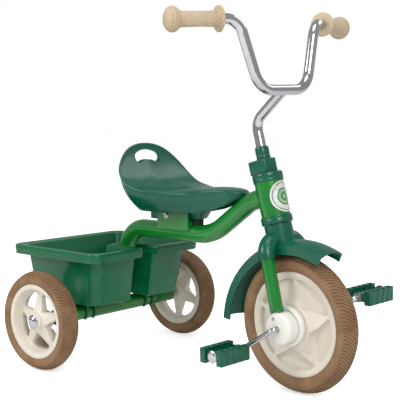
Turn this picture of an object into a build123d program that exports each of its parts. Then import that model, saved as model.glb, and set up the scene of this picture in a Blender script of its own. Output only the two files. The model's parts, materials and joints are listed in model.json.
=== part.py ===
from build123d import *

import os
from math import cos, radians, sin

# Children's tricycle: a bent steel tube frame on a rear axle beam, a raked steering head with
# a direct-drive front wheel, a moulded saddle, and a tray between the rear wheels.
# X points forwards, Y to the rider's left, Z up. The origin is on the ground, under the
# middle of the rear axle. Every size is in millimetres.

os.makedirs("parts", exist_ok=True)

# ---- driving dimensions -------------------------------------------------------------------
WHEELBASE = 480.0          # rear axle to front axle, along the ground
TRACK = 418.0              # between the middles of the two rear tyres
FRONT_RADIUS = 130.0       # outside of the front tyre
REAR_RADIUS = 100.0        # outside of a rear tyre
FRONT_TYRE_WIDTH = 45.0
REAR_TYRE_WIDTH = 41.0
HEAD_ANGLE = 15.5          # lean of the steering axis back from upright, degrees
STEER_AT_REST = -6.0       # the front end stands turned this far, to the rider's right
CRANK_AT_REST = 213.7      # direction of the right crank arm, turning forward to up, degrees
WHEEL_AT_REST = 18.0       # direction of a wheel's first arm, degrees

RUN_FIT = 0.05             # radial clearance of a shaft that turns in a hole
SLACK = 0.3                # gap between pieces that pass or face each other
TOUCH = 0.5                # gap between rings that turn past each other at the head

# frame
MAIN_RADIUS = 18.0         # outside of the main tube
MAIN_WALL = 2.0
MAIN_LEVEL = 275.0         # height of the main tube's level run
MAIN_REAR_X = 52.0         # where the tube turns down to the rear axle beam
MAIN_FRONT_X = WHEELBASE - 206.0  # where the tube turns up to the head
MAIN_REAR_BEND = 52.0
MAIN_FRONT_BEND = 100.0
MAIN_KNEE = (-47.3, -17.2)  # where the rising run eases into the head, from where it meets it
MAIN_KNEE_BEND = 60.0
BEAM_RADIUS = 16.0
BEAM_WALL = 2.0
BEAM_TO_WHEEL = 41.0       # end of the rear axle beam to the middle of the tyre
BUSH_FLANGE = 4.0
BUSH_SPIGOT = 20.0
SPACER_RADIUS = 9.0
AXLE_RADIUS = 5.0          # rear axle rod

# fork crown and head, measured along the steering axis from the front axle
CROWN_U = FRONT_RADIUS + 28.0
HEAD_LOW = CROWN_U + 43.0
HEAD_HIGH = HEAD_LOW + 64.5
MAIN_HEAD_U = HEAD_LOW + 41.0  # where the main tube meets the head
HEAD_RADIUS = 27.0
HEAD_WALL = 3.5
LOWER_RING_RADIUS = 29.5
LOWER_RING_HEIGHT = 15.0
UPPER_RING_RADIUS = 28.5
UPPER_RING_HEIGHT = 17.0
RING_SPIGOT = 8.0
STEERER_RADIUS = 13.0
STEERER_WALL = 2.5
CAP_BACK = 28.0            # the square cap reaches this far behind the steering axis
CAP_FRONT = 15.0           # and this far ahead of it
CAP_HALF = 17.0
CAP_CORNER = 4.0
CAP_HEIGHT = 26.5
COLLAR_RADIUS = 13.0
COLLAR_HEIGHT = 24.0
BADGE_RADIUS = 29.5        # laid flat, before it is wrapped round the head
BADGE_THICK = 0.8

# fork and fender, in the plane of the steering axis
LEG_RADIUS = 12.5
LEG_WALL = 2.0
LEG_TOP_Y = FRONT_TYRE_WIDTH / 2 + 22.5
LEG_LOW_Y = FRONT_TYRE_WIDTH / 2 + 27.5
LEG_LOW_U = 34.0
CROWN_BEND = 28.0
TAB_THICK = 12.0
TAB_WIDTH = 23.0
TAB_DROP = 13.0            # how far the flattened end reaches below the axle
FENDER_CENTRE = (8.0, -26.0)  # centre of the fender's arch from the front axle, forward and up
FENDER_RADIUS = FRONT_RADIUS + 52.0
FENDER_FROM = 67.0         # front lip, degrees above straight ahead
FENDER_TO = 175.0          # rear lip
FENDER_HALF = FRONT_TYRE_WIDTH / 2 + 8.5
FENDER_DEPTH = 25.0
FENDER_WALL = 3.0
FENDER_CORNER = 9.0
NECK_RADIUS = 26.0
SLEEVE_RADIUS = 16.0
SLEEVE_DROP = 32.0         # how far the sleeves reach down below the crown

# stem and handlebar
BAR_RADIUS = 9.5
BAR_WALL = 1.5
STEM_ELBOW_RISE = 47.6     # where the stem leaves the steering axis, above its collar
STEM_BEND = 30.0
STEM_IN_FORK = 45.0        # how far the stem reaches down inside the steerer
BAR_LOW = (68.2, 0.0, 57.8)     # middle of the handlebar's lowest run, from the stem's elbow
BAR_LOW_CORNER = (69.2, 63.4, 57.8)
BAR_TOP_REACH = 36.0       # from the upper bend's corner to the grip's flange
BAR_LOW_BEND = 44.0
BAR_TOP_BEND = 34.0
GRIP_START = (46.1, 136.9, 180.2)
GRIP_SWEEP = 17.1          # how far the grips point back, degrees
GRIP_DROP = 1.5            # and down
GRIP_RADIUS = 14.0
GRIP_FLANGE_RADIUS = 23.0
GRIP_FLANGE_THICK = 3.5
GRIP_END_RADIUS = 22.0
GRIP_END_AT = 90.0         # middle of the rounded end, from the flange
GRIP_END_HALF = 13.0
BAR_IN_GRIP = 84.0

# front wheel, crank and pedals
FRONT_RIM_RADIUS = 98.0
FRONT_RIM_HALF = 15.5
REAR_RIM_RADIUS = 75.0
REAR_RIM_HALF = 17.0
RIM_THICK = 12.0
ARM_COUNT = 5
ARM_WIDTH = 22.0
FRONT_ARM_HALF = 12.0
FRONT_WEB_HALF = 3.5
FRONT_HUB_RADIUS = 20.0
FRONT_HUB_HALF = 24.0
HUB_DISC_RADIUS = 37.0
HUB_DISC_FACE = LEG_LOW_Y - 15.0
COVER_RADIUS = 30.0
COVER_FROM = LEG_LOW_Y - 13.0
COVER_TO = LEG_LOW_Y + 10.0
SCREW_AT = (-8.0, 18.0)    # a cover's screw, forward and up from the axle
SCREW_HEAD = 3.5
SPINDLE_RADIUS = 4.75
CRANK_LENGTH = 77.0
CRANK_IN_Y = COVER_TO + 10.0
CRANK_OUT_Y = COVER_TO + 20.0
CRANK_BEND = 9.0
PEDAL_FROM = CRANK_OUT_Y + 12.0
PEDAL_LENGTH = 73.0
PEDAL_WIDTH = 54.0
PEDAL_HEIGHT = 27.0
PEDAL_RAIL = 13.0
PEDAL_CORE = 9.0
PEDAL_SLOTS = 3            # openings in the core, in each of two rows
PEDAL_SLOT_WIDTH = 5.0
PEDAL_SLOT_AT = 10.5       # a row's middle, from the pedal's axis
PEDAL_SLOT_GAP = 6.0
PEDAL_CAP_RADIUS = 12.0
PEDAL_CAP_THICK = 5.0
WASHER_RADIUS = 9.0
WASHER_THICK = 1.5

# rear wheel, measured from the middle of its tyre, outwards positive
REAR_HUB_RADIUS = 18.0
REAR_HUB_IN = -20.0
REAR_HUB_OUT = 19.0
REAR_ARM_HALF = 7.0
REAR_CAP_RADIUS = 14.0
REAR_CAP_THICK = 6.0

# saddle and its fixing
SEAT_FLOOR = 318.0         # the saddle's flat underside
SEAT_HOLLOW_AT = (200.0, 457.0)   # centre of the round hollow one sits in, forward and up
SEAT_HOLLOW_RADIUS = 97.0
SEAT_HOLLOW_CROWN = 300.0  # the hollow's curve across the seat
SEAT_WALL = 4.0
SEAT_HOLLOW_FROM = 395.0   # the back is solid above this height
HAND_HOLE_Z = 429.0
HAND_HOLE_HALF = 26.0
HAND_HOLE_RADIUS = 9.0
LUG_DROP = 19.0            # how far the saddle's lug reaches down into the bracket
LUG_FROM = 124.0
BRACKET_FROM = 146.0
BRACKET_TO = 228.0
BRACKET_HALF = MAIN_RADIUS + 4.0
BRACKET_WALL = 3.0
BRACKET_LAP = 12.0         # how far the bracket reaches down beside the main tube
SEAT_BOLT_RADIUS = 4.0
SEAT_BOLT_HEAD = 6.5
SEAT_BOLT_HEAD_HEIGHT = 4.0
SEAT_BOLT_DROP = 9.0       # from the saddle's underside down to the bolts
SEAT_BOLT_XS = (BRACKET_FROM + 24.0,)
BUFFER_X = 249.0
BUFFER_HALF = 13.0
BUFFER_BITE = 6.0          # how far the buffer stands above the lug's foot

# tray between the rear wheels
TRAY_WALL = 3.0
TRAY_FLOOR = REAR_RADIUS + BEAM_RADIUS + 8.0
TRAY_RIM = TRAY_FLOOR + 111.7
TRAY_SKIRT = 19.0
TRAY_RIM_HALF = TRACK / 2 - REAR_TYRE_WIDTH / 2 - 30.1
TRAY_RIM_BOX = (-155.0, 107.0, TRAY_RIM_HALF)           # rear, front and half width at the rim
TRAY_TOP_BOX = (-139.0, 91.0, TRAY_RIM_HALF - 16.4)     # the wall's outside just under the rim
TRAY_LOW_BOX = (-122.0, 74.0, TRAY_RIM_HALF - 26.4)     # and at the floor
TRAY_CORNER = 24.0
NOTCH_RIM_HALF = MAIN_RADIUS + 5.0
NOTCH_TOP_HALF = MAIN_RADIUS + 9.0
NOTCH_CORNER = 5.0
NOTCH_TOP_BACK = 3.0
NOTCH_LOW_BACK = -24.0
CLIP_Y = 88.0
CLIP_SPACING = 22.0
CLIP_THICK = 5.0
CLIP_WALL = 5.0
CLIP_FRONT_RUN = 14.0      # how much further forward a clip reaches at the tray's floor
CLIP_MOUTH = 30.0          # degrees past level where a clip lets go of the beam

# ---- derived places -----------------------------------------------------------------------
HEAD_TILT = radians(HEAD_ANGLE)
AXLE_UP = (-sin(HEAD_TILT), 0, cos(HEAD_TILT))       # up along the steering axis
AXLE_AHEAD = (cos(HEAD_TILT), 0, sin(HEAD_TILT))     # square to it, forwards
FRONT_AXLE = Vector(WHEELBASE, 0, FRONT_RADIUS)
REAR_AXLE = Vector(0, 0, REAR_RADIUS)
BEAM_HALF = TRACK / 2 - BEAM_TO_WHEEL
STEERED = Location(FRONT_AXLE, AXLE_UP, STEER_AT_REST)
SIDE = Plane.XZ                                       # faces the rider's right


def head_plane(u, origin=(0, 0, 0)):
    """The plane square to the steering axis, u above the front axle."""
    return Plane(origin=origin, x_dir=AXLE_AHEAD, z_dir=AXLE_UP).offset(u)


def finish(part, name, place=Location()):
    """Put a finished piece in its place on the tricycle, label it and write it."""
    placed = part.moved(place)
    placed.label = name
    export_step(placed, f"parts/{name}.step")
    return placed


def largest(part):
    """The biggest solid of a part, which leaves the offcuts of a trimmed tube behind."""
    return part.solids().sort_by(SortBy.VOLUME)[-1]


def revolved_ring(points):
    """A ring about Y from a closed outline of (radius, y) points."""
    with BuildPart() as ring:
        with BuildSketch(Plane.YZ):
            with BuildLine():
                Polyline(*[(y, radius) for radius, y in points], close=True)
            make_face()
        revolve(axis=Axis.Y)
    return ring.part


# ---- frame --------------------------------------------------------------------------------
with BuildPart() as axle_beam:
    with BuildSketch(SIDE.offset(-BEAM_HALF)):
        with Locations((0, REAR_RADIUS)):
            Circle(BEAM_RADIUS)
            Circle(BEAM_RADIUS - BEAM_WALL, mode=Mode.SUBTRACT)
    extrude(amount=2 * BEAM_HALF)
finish(axle_beam.part, "axle_beam")

with BuildPart() as beam_solid:
    with BuildSketch(SIDE.offset(-BEAM_HALF)):
        with Locations((0, REAR_RADIUS)):
            Circle(BEAM_RADIUS)
    extrude(amount=2 * BEAM_HALF)

for side, word in ((1, "left"), (-1, "right")):
    with BuildPart() as beam_bush:
        with BuildSketch(SIDE.offset(-side * (BEAM_HALF + BUSH_FLANGE))):
            with Locations((0, REAR_RADIUS)):
                Circle(BEAM_RADIUS)
        extrude(amount=side * BUSH_FLANGE)
        with BuildSketch(SIDE.offset(-side * BEAM_HALF)):
            with Locations((0, REAR_RADIUS)):
                Circle(BEAM_RADIUS - BEAM_WALL)
        extrude(amount=side * BUSH_SPIGOT)
        with Locations(Plane(origin=(0, side * BEAM_HALF, REAR_RADIUS), z_dir=(0, 1, 0))):
            Hole(AXLE_RADIUS)
    finish(beam_bush.part, f"beam_bush_{word}")

AXLE_HALF = TRACK / 2 + REAR_HUB_OUT + REAR_CAP_THICK - 2
with BuildPart() as rear_axle:
    with BuildSketch(SIDE.offset(-AXLE_HALF)):
        with Locations((0, REAR_RADIUS)):
            Circle(AXLE_RADIUS)
    extrude(amount=2 * AXLE_HALF)
finish(rear_axle.part, "rear_axle")

head_base = head_plane(HEAD_LOW, FRONT_AXLE)
with BuildPart() as head_solid:
    with BuildSketch(head_base):
        Circle(HEAD_RADIUS)
    extrude(amount=HEAD_HIGH - HEAD_LOW)
with BuildPart() as head_tube:
    add(head_solid.part)
    with BuildSketch(head_base):
        Circle(HEAD_RADIUS - HEAD_WALL)
    extrude(amount=HEAD_HIGH - HEAD_LOW, mode=Mode.SUBTRACT)
finish(head_tube.part, "head_tube")

main_head = FRONT_AXLE + Vector(AXLE_UP) * MAIN_HEAD_U
with BuildPart() as main_solid:
    with BuildLine(SIDE) as main_path:
        FilletPolyline(
            (0, REAR_RADIUS),
            (MAIN_REAR_X, MAIN_LEVEL),
            (MAIN_FRONT_X, MAIN_LEVEL),
            (main_head.X + MAIN_KNEE[0], main_head.Z + MAIN_KNEE[1]),
            (main_head.X, main_head.Z),
            radius=[MAIN_REAR_BEND, MAIN_FRONT_BEND, MAIN_KNEE_BEND],
        )
    main_start = Plane(main_path.line @ 0, z_dir=main_path.line % 0)
    with BuildSketch(main_start):
        Circle(MAIN_RADIUS)
    sweep(path=main_path.line)
with BuildPart() as main_tube:
    with BuildSketch(main_start):
        Circle(MAIN_RADIUS)
        Circle(MAIN_RADIUS - MAIN_WALL, mode=Mode.SUBTRACT)
    sweep(path=main_path.line)
    add(beam_solid.part, mode=Mode.SUBTRACT)
    add(head_solid.part, mode=Mode.SUBTRACT)
finish(largest(main_tube.part), "main_tube")

RING_FIT = HEAD_RADIUS - HEAD_WALL
for name, base, height, radius, spigot in (
    ("lower_head_ring", HEAD_LOW - LOWER_RING_HEIGHT, LOWER_RING_HEIGHT, LOWER_RING_RADIUS, 1),
    ("upper_head_ring", HEAD_HIGH, UPPER_RING_HEIGHT, UPPER_RING_RADIUS, -1),
):
    with BuildPart() as head_ring:
        with BuildSketch(head_plane(base, FRONT_AXLE)):
            Circle(radius)
        extrude(amount=height)
        with BuildSketch(head_plane(HEAD_LOW if spigot > 0 else HEAD_HIGH, FRONT_AXLE)):
            Circle(RING_FIT)
        extrude(amount=spigot * RING_SPIGOT)
        with BuildSketch(head_plane(base - RING_SPIGOT, FRONT_AXLE)):
            Circle(STEERER_RADIUS + RUN_FIT)
        extrude(amount=height + 2 * RING_SPIGOT, mode=Mode.SUBTRACT)
    finish(head_ring.part, name)

badge_half_wide = HEAD_RADIUS * sin(BADGE_RADIUS / HEAD_RADIUS)
badge_middle = FRONT_AXLE + Vector(AXLE_UP) * ((HEAD_LOW + HEAD_HIGH) / 2)
with BuildPart() as head_badge:
    with BuildSketch(head_base):
        Circle(HEAD_RADIUS + BADGE_THICK)
        Circle(HEAD_RADIUS, mode=Mode.SUBTRACT)
    extrude(amount=HEAD_HIGH - HEAD_LOW)
    with BuildSketch(Plane(badge_middle, x_dir=AXLE_UP, z_dir=AXLE_AHEAD)):
        Ellipse(BADGE_RADIUS, badge_half_wide)
    extrude(amount=2 * HEAD_RADIUS, mode=Mode.INTERSECT)
finish(head_badge.part, "head_badge")

# The bracket is a folded channel that straddles the main tube, with its open side up.
SEAT_BOLT_Z = SEAT_FLOOR - SEAT_BOLT_DROP
SEAT_LUG_LOW = SEAT_FLOOR - LUG_DROP
with BuildPart() as seat_bracket:
    with BuildSketch(Plane.YZ.offset(BRACKET_FROM)):
        with BuildLine():
            Polyline(
                (-BRACKET_HALF, MAIN_LEVEL + MAIN_RADIUS - BRACKET_LAP),
                (BRACKET_HALF, MAIN_LEVEL + MAIN_RADIUS - BRACKET_LAP),
                (BRACKET_HALF, SEAT_FLOOR - SLACK),
                (-BRACKET_HALF, SEAT_FLOOR - SLACK),
                close=True,
            )
        make_face()
        with Locations((0, SEAT_FLOOR)):
            Rectangle(2 * (BRACKET_HALF - BRACKET_WALL), 2 * LUG_DROP, mode=Mode.SUBTRACT)
        with Locations((0, MAIN_LEVEL)):
            Circle(MAIN_RADIUS, mode=Mode.SUBTRACT)
    extrude(amount=BRACKET_TO - BRACKET_FROM)
    with Locations(*[Plane(origin=(x, 0, SEAT_BOLT_Z), z_dir=(0, 1, 0)) for x in SEAT_BOLT_XS]):
        Hole(SEAT_BOLT_RADIUS)
finish(largest(seat_bracket.part), "seat_bracket")

with BuildPart() as seat_bolts:
    for bolt_x in SEAT_BOLT_XS:
        with BuildSketch(SIDE.offset(-BRACKET_HALF - SEAT_BOLT_HEAD_HEIGHT - 1)):
            with Locations((bolt_x, SEAT_BOLT_Z)):
                Circle(SEAT_BOLT_RADIUS)
        extrude(amount=2 * (BRACKET_HALF + SEAT_BOLT_HEAD_HEIGHT) + 1)
        with BuildSketch(SIDE.offset(BRACKET_HALF)):
            with Locations((bolt_x, SEAT_BOLT_Z)):
                Circle(SEAT_BOLT_HEAD)
        extrude(amount=SEAT_BOLT_HEAD_HEIGHT)
        with BuildSketch(SIDE.offset(-BRACKET_HALF)):
            with Locations((bolt_x, SEAT_BOLT_Z)):
                RegularPolygon(SEAT_BOLT_HEAD, 6)
        extrude(amount=-SEAT_BOLT_HEAD_HEIGHT)
finish(seat_bolts.part, "seat_bolts")

BUFFER_TOP = SEAT_LUG_LOW + BUFFER_BITE
with BuildPart() as seat_buffer:
    with BuildSketch(Plane.YZ.offset(BRACKET_TO + SLACK)):
        with Locations((0, (MAIN_LEVEL + BUFFER_TOP) / 2)):
            Rectangle(2 * BUFFER_HALF, BUFFER_TOP - MAIN_LEVEL)
    extrude(amount=BUFFER_X - BRACKET_TO)
    add(main_solid.part, mode=Mode.SUBTRACT)
finish(seat_buffer.part, "seat_buffer")


# ---- saddle -------------------------------------------------------------------------------
def seat_block(inset):
    """The saddle's outside drawn in by inset: a side view, a plan and a front view that meet."""
    with BuildPart() as block:
        with BuildSketch(SIDE.offset(-120)):
            with BuildLine():
                Spline(
                    (88 + inset, 452 - inset),
                    (83 + inset, 430),
                    (88 + inset, 392),
                    (103 + inset, 350),
                    (130 + inset, SEAT_FLOOR),
                )
                Polyline(
                    (130 + inset, SEAT_FLOOR),
                    (255 - inset, SEAT_FLOOR),
                    (290 - inset, 339 + inset),
                    (328 - inset, 352 + inset),
                    (351 - inset, 360 + inset / 4),
                )
                Spline(
                    (351 - inset, 360 + inset / 4),
                    (354 - inset, 365 - inset),
                    (341, 369 - inset),
                    (292, 373 - inset),
                    (255, 380 - inset),
                    (200, 400),
                    (150, 452 - inset),
                    (88 + inset, 452 - inset),
                )
            make_face()
        extrude(amount=240)
        with BuildSketch(Plane.XY.offset(SEAT_FLOOR - 10)):
            with BuildLine() as plan:
                Spline(
                    (80 + inset, 0),
                    (96 + inset, 62 - inset),
                    (125, 90 - inset),
                    (170, 97 - inset),
                    (215, 84 - inset),
                    (255, 44 - inset),
                    (285, 30 - inset),
                    (330, 28 - inset),
                    (357 - inset, 0),
                    tangents=[(0, 1), (0, -1)],
                )
                mirror(about=SIDE)
            make_face()
        extrude(amount=150, mode=Mode.INTERSECT)
        with BuildSketch(Plane.YZ.offset(50)):
            with BuildLine() as front:
                Spline(
                    (0, 452 - inset),
                    (38, 447 - inset),
                    (66 - inset, 430 - inset),
                    (88 - inset, 405),
                    (97 - inset, 375),
                    (88 - inset, 345),
                    (56 - inset, SEAT_FLOOR),
                    tangents=[(1, 0), (-1, -1)],
                )
                Line((56 - inset, SEAT_FLOOR), (0, SEAT_FLOOR))
                mirror(about=Plane.YZ)
            make_face()
        extrude(amount=320, mode=Mode.INTERSECT)
        crown = SEAT_HOLLOW_CROWN
        with BuildSketch(Plane.YZ.offset(SEAT_HOLLOW_AT[0])):
            with Locations((0, SEAT_HOLLOW_AT[1] + SEAT_HOLLOW_RADIUS - crown + inset)):
                Circle(crown)
            with Locations((0, SEAT_HOLLOW_AT[1] - crown)):
                Rectangle(2 * crown, 2 * crown, mode=Mode.SUBTRACT)
        revolve(axis=Axis((SEAT_HOLLOW_AT[0], 0, SEAT_HOLLOW_AT[1]), (0, 1, 0)), mode=Mode.SUBTRACT)
    return largest(block.part)


LUG_HALF = BRACKET_HALF - BRACKET_WALL - SLACK
seat_feet = (
    (LUG_FROM, BRACKET_TO - 4, LUG_HALF, SEAT_LUG_LOW),
    (BRACKET_TO + SLACK, BUFFER_X, BUFFER_HALF, BUFFER_TOP),
)
with BuildPart() as seat_lugs:
    for begin, end, half, low in seat_feet:
        with BuildSketch(Plane.XY.offset(low)):
            with Locations(((begin + end) / 2, 0)):
                Rectangle(end - begin, 2 * half)
        extrude(amount=SEAT_HOLLOW_FROM - low)
with BuildPart() as seat_room:
    add(seat_block(0))
    with BuildSketch(Plane.XY.offset(SEAT_FLOOR)):
        with Locations(((LUG_FROM + BUFFER_X) / 2, 0)):
            Rectangle(BUFFER_X - LUG_FROM, 2 * LUG_HALF)
    extrude(amount=-LUG_DROP)
with BuildPart() as seat_inside:
    add(seat_block(SEAT_WALL))
    split(bisect_by=Plane.XY.offset(SEAT_HOLLOW_FROM), keep=Keep.BOTTOM)
with BuildPart() as seat:
    add(seat_lugs.part)
    add(seat_room.part, mode=Mode.INTERSECT)
    add(seat_block(0) - seat_inside.part)
    with Locations(*[Plane(origin=(x, 0, SEAT_BOLT_Z), z_dir=(0, 1, 0)) for x in SEAT_BOLT_XS]):
        Hole(SEAT_BOLT_RADIUS)
    with BuildSketch(Plane.YZ.offset(60)):
        with Locations((0, HAND_HOLE_Z)):
            SlotOverall(2 * HAND_HOLE_HALF, 2 * HAND_HOLE_RADIUS)
    extrude(amount=70, mode=Mode.SUBTRACT)
finish(seat.part, "seat")


# ---- tray ---------------------------------------------------------------------------------
def tray_outline(box, notch_half, notch_back, inset=0.0):
    """A rounded rectangle with a notch in the middle of its front edge, drawn in by inset."""
    rear, front, half = box[0] + inset, box[1] - inset, box[2] - inset
    notch = notch_half + inset
    back = notch_back - inset
    with BuildSketch() as outline:
        with BuildLine():
            Polyline(
                (rear, -half),
                (front, -half),
                (front, -notch),
                (back, -notch),
                (back, notch),
                (front, notch),
                (front, half),
                (rear, half),
                close=True,
            )
        make_face()
        by_half = outline.vertices().group_by(lambda v: abs(v.Y))
        fillet(by_half[-1], TRAY_CORNER - inset)
        at_notch = outline.vertices().filter_by(lambda v: abs(abs(v.Y) - notch) < 0.01)
        fillet(at_notch, NOTCH_CORNER)
    return outline.sketch


def tray_body(inset, floor):
    """The tapered body of the tray, from its floor up to the rim, drawn in by inset."""
    with BuildPart() as body:
        with BuildSketch(Plane.XY.offset(floor)):
            add(tray_outline(TRAY_LOW_BOX, NOTCH_TOP_HALF, NOTCH_LOW_BACK, inset))
        with BuildSketch(Plane.XY.offset(TRAY_RIM)):
            add(tray_outline(TRAY_TOP_BOX, NOTCH_TOP_HALF, NOTCH_TOP_BACK, inset))
        loft(ruled=True)
    return body.part


with BuildPart() as tray:
    with BuildSketch(Plane.XY.offset(TRAY_RIM - TRAY_SKIRT)):
        add(tray_outline(TRAY_RIM_BOX, NOTCH_RIM_HALF, NOTCH_TOP_BACK + 4))
        add(
            tray_outline(TRAY_RIM_BOX, NOTCH_RIM_HALF, NOTCH_TOP_BACK + 4, TRAY_WALL),
            mode=Mode.SUBTRACT,
        )
    extrude(amount=TRAY_SKIRT)
    with BuildSketch(Plane.XY.offset(TRAY_RIM - TRAY_WALL)):
        add(tray_outline(TRAY_RIM_BOX, NOTCH_RIM_HALF, NOTCH_TOP_BACK + 4))
    extrude(amount=TRAY_WALL)
    add(tray_body(0, TRAY_FLOOR))
    add(tray_body(TRAY_WALL, TRAY_FLOOR + TRAY_WALL), mode=Mode.SUBTRACT)
    for side in (-1, 1):
        for shift in (-1, 1):
            middle = side * CLIP_Y + shift * CLIP_SPACING / 2
            with BuildSketch(SIDE.offset(-middle - CLIP_THICK / 2)):
                with BuildLine():
                    Polyline(
                        (-BEAM_RADIUS - CLIP_WALL, TRAY_FLOOR + TRAY_WALL),
                        (-BEAM_RADIUS - CLIP_WALL, REAR_RADIUS - BEAM_RADIUS / 2),
                        (BEAM_RADIUS + CLIP_WALL, REAR_RADIUS - BEAM_RADIUS / 2),
                        (BEAM_RADIUS + CLIP_WALL + CLIP_FRONT_RUN, TRAY_FLOOR + TRAY_WALL),
                        close=True,
                    )
                make_face()
                with Locations((0, REAR_RADIUS)):
                    Circle(BEAM_RADIUS, mode=Mode.SUBTRACT)
                with Locations((0, REAR_RADIUS - BEAM_RADIUS)):
                    mouth = 2 * BEAM_RADIUS * cos(radians(CLIP_MOUTH))
                    Rectangle(mouth, 2 * BEAM_RADIUS, mode=Mode.SUBTRACT)
            extrude(amount=CLIP_THICK)
finish(tray.part, "tray")


# ---- fork, fender and head fittings, in their own frame at the front axle ------------------
FORK_FACE = Plane(origin=(0, 0, 0), x_dir=(0, 1, 0), z_dir=AXLE_AHEAD)
TAB_TOP = LEG_LOW_U + 8.0


def fork_bend(radius, bore=0.0, low=LEG_LOW_U):
    """The tube that runs up one leg, over the crown and down the other."""
    slope = (LEG_LOW_Y - LEG_TOP_Y) / (CROWN_U - LEG_LOW_U)
    low_y = LEG_LOW_Y - (low - LEG_LOW_U) * slope
    with BuildPart() as bend:
        with BuildLine(FORK_FACE) as path:
            FilletPolyline(
                (-low_y, low),
                (-LEG_TOP_Y, CROWN_U),
                (LEG_TOP_Y, CROWN_U),
                (low_y, low),
                radius=CROWN_BEND,
            )
        with BuildSketch(Plane(path.line @ 0, z_dir=path.line % 0)):
            Circle(radius)
            if bore:
                Circle(bore, mode=Mode.SUBTRACT)
        sweep(path=path.line)
    return bend.part


STEERER_TOP = HEAD_HIGH + UPPER_RING_HEIGHT + CAP_HEIGHT - 4
with BuildPart() as fork:
    add(fork_bend(LEG_RADIUS, LEG_RADIUS - LEG_WALL))
    with BuildSketch(head_plane(CROWN_U)):
        Circle(STEERER_RADIUS)
    extrude(amount=STEERER_TOP - CROWN_U)
    with BuildSketch(head_plane(CROWN_U + LEG_RADIUS)):
        Circle(STEERER_RADIUS - STEERER_WALL)
    extrude(amount=STEERER_TOP - CROWN_U, mode=Mode.SUBTRACT)
    for side in (-1, 1):
        tab_middle = side * LEG_LOW_Y
        with BuildSketch(FORK_FACE.offset(-TAB_WIDTH / 2)):
            with Locations((tab_middle, (TAB_TOP - TAB_DROP) / 2)):
                Rectangle(TAB_THICK, TAB_TOP + TAB_DROP)
        extrude(amount=TAB_WIDTH)
    with Locations(Plane(origin=(0, 0, 0), z_dir=(0, 1, 0))):
        Hole(SPINDLE_RADIUS + RUN_FIT)
finish(fork.part, "fork", STEERED)


def fender_section(inset, drop=0.0):
    """Half-open channel of the fender as a closed block: crown, rounded shoulders, two sides."""
    half = FENDER_HALF - inset
    low = FENDER_RADIUS - FENDER_DEPTH - drop
    top = FENDER_RADIUS - inset
    with BuildSketch() as section:
        with BuildLine():
            Line((-half, low), (half, low))
            Line((half, low), (half, top - FENDER_CORNER))
            ThreePointArc(
                (half, top - FENDER_CORNER),
                (0, top),
                (-half, top - FENDER_CORNER),
            )
            Line((-half, top - FENDER_CORNER), (-half, low))
        make_face()
    return section.sketch


def fender_sweep(inset, drop=0.0, extra=0.0):
    """The channel's block carried round the arch, from the front lip to the rear one."""
    with BuildPart() as arch:
        with BuildSketch(Plane.YZ):
            add(fender_section(inset, drop))
        revolve(axis=Axis.Y, revolution_arc=FENDER_TO - FENDER_FROM + 2 * extra)
    turn = Rot(0, 90 - FENDER_TO - extra, 0)
    return Pos(FENDER_CENTRE[0], 0, FENDER_CENTRE[1]) * (turn * arch.part)


arch_outside = fender_sweep(0)
arch_inside = fender_sweep(FENDER_WALL, drop=6.0, extra=3.0)
with BuildPart() as fender:
    add(arch_outside)
    with BuildSketch(head_plane(CROWN_U - 12)):
        Circle(NECK_RADIUS)
    extrude(amount=HEAD_LOW - LOWER_RING_HEIGHT - TOUCH - CROWN_U + 12)
    add(fork_bend(SLEEVE_RADIUS, low=CROWN_U - SLEEVE_DROP))
    add(arch_inside, mode=Mode.SUBTRACT)
    add(fork_bend(LEG_RADIUS + SLACK), mode=Mode.SUBTRACT)
    with BuildSketch(head_plane(CROWN_U - 20)):
        Circle(STEERER_RADIUS + SLACK)
    extrude(amount=HEAD_LOW - CROWN_U + 20, mode=Mode.SUBTRACT)
finish(largest(fender.part), "fender", STEERED)

with BuildPart() as head_cap:
    with BuildSketch(head_plane(HEAD_HIGH + UPPER_RING_HEIGHT + TOUCH)):
        with Locations(((CAP_FRONT - CAP_BACK) / 2, 0)):
            RectangleRounded(CAP_FRONT + CAP_BACK, 2 * CAP_HALF, CAP_CORNER)
    extrude(amount=CAP_HEIGHT - TOUCH)
    fillet(head_cap.faces().sort_by(Axis(origin=(0, 0, 0), direction=AXLE_UP))[-1].edges(), 3)
    with BuildSketch(head_plane(HEAD_HIGH)):
        Circle(STEERER_RADIUS)
    extrude(amount=STEERER_TOP - HEAD_HIGH, mode=Mode.SUBTRACT)
    with BuildSketch(head_plane(STEERER_TOP)):
        Circle(BAR_RADIUS)
    extrude(amount=CAP_HEIGHT, mode=Mode.SUBTRACT)
finish(head_cap.part, "head_cap", STEERED)

COLLAR_FROM = HEAD_HIGH + UPPER_RING_HEIGHT + CAP_HEIGHT
with BuildPart() as stem_collar:
    with BuildSketch(head_plane(COLLAR_FROM)):
        Circle(COLLAR_RADIUS)
        Circle(BAR_RADIUS, mode=Mode.SUBTRACT)
    extrude(amount=COLLAR_HEIGHT)
finish(stem_collar.part, "stem_collar", STEERED)


# ---- stem, handlebar and grips -------------------------------------------------------------
stem_elbow = Vector(AXLE_UP) * (COLLAR_FROM + COLLAR_HEIGHT + STEM_ELBOW_RISE)
grip_out = Vector(
    -sin(radians(GRIP_SWEEP)) * cos(radians(GRIP_DROP)),
    cos(radians(GRIP_SWEEP)) * cos(radians(GRIP_DROP)),
    -sin(radians(GRIP_DROP)),
)
grip_start = stem_elbow + Vector(*GRIP_START)
bar_end = grip_start + grip_out * BAR_IN_GRIP


def flipped(point):
    """The same place on the other side of the middle plane."""
    return Vector(point.X, -point.Y, point.Z)


bar_low_corner = stem_elbow + Vector(*BAR_LOW_CORNER)
bar_points = [bar_end, grip_start - grip_out * BAR_TOP_REACH, bar_low_corner]
bar_bends = [BAR_TOP_BEND, BAR_LOW_BEND, BAR_LOW_BEND, BAR_TOP_BEND]


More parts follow.
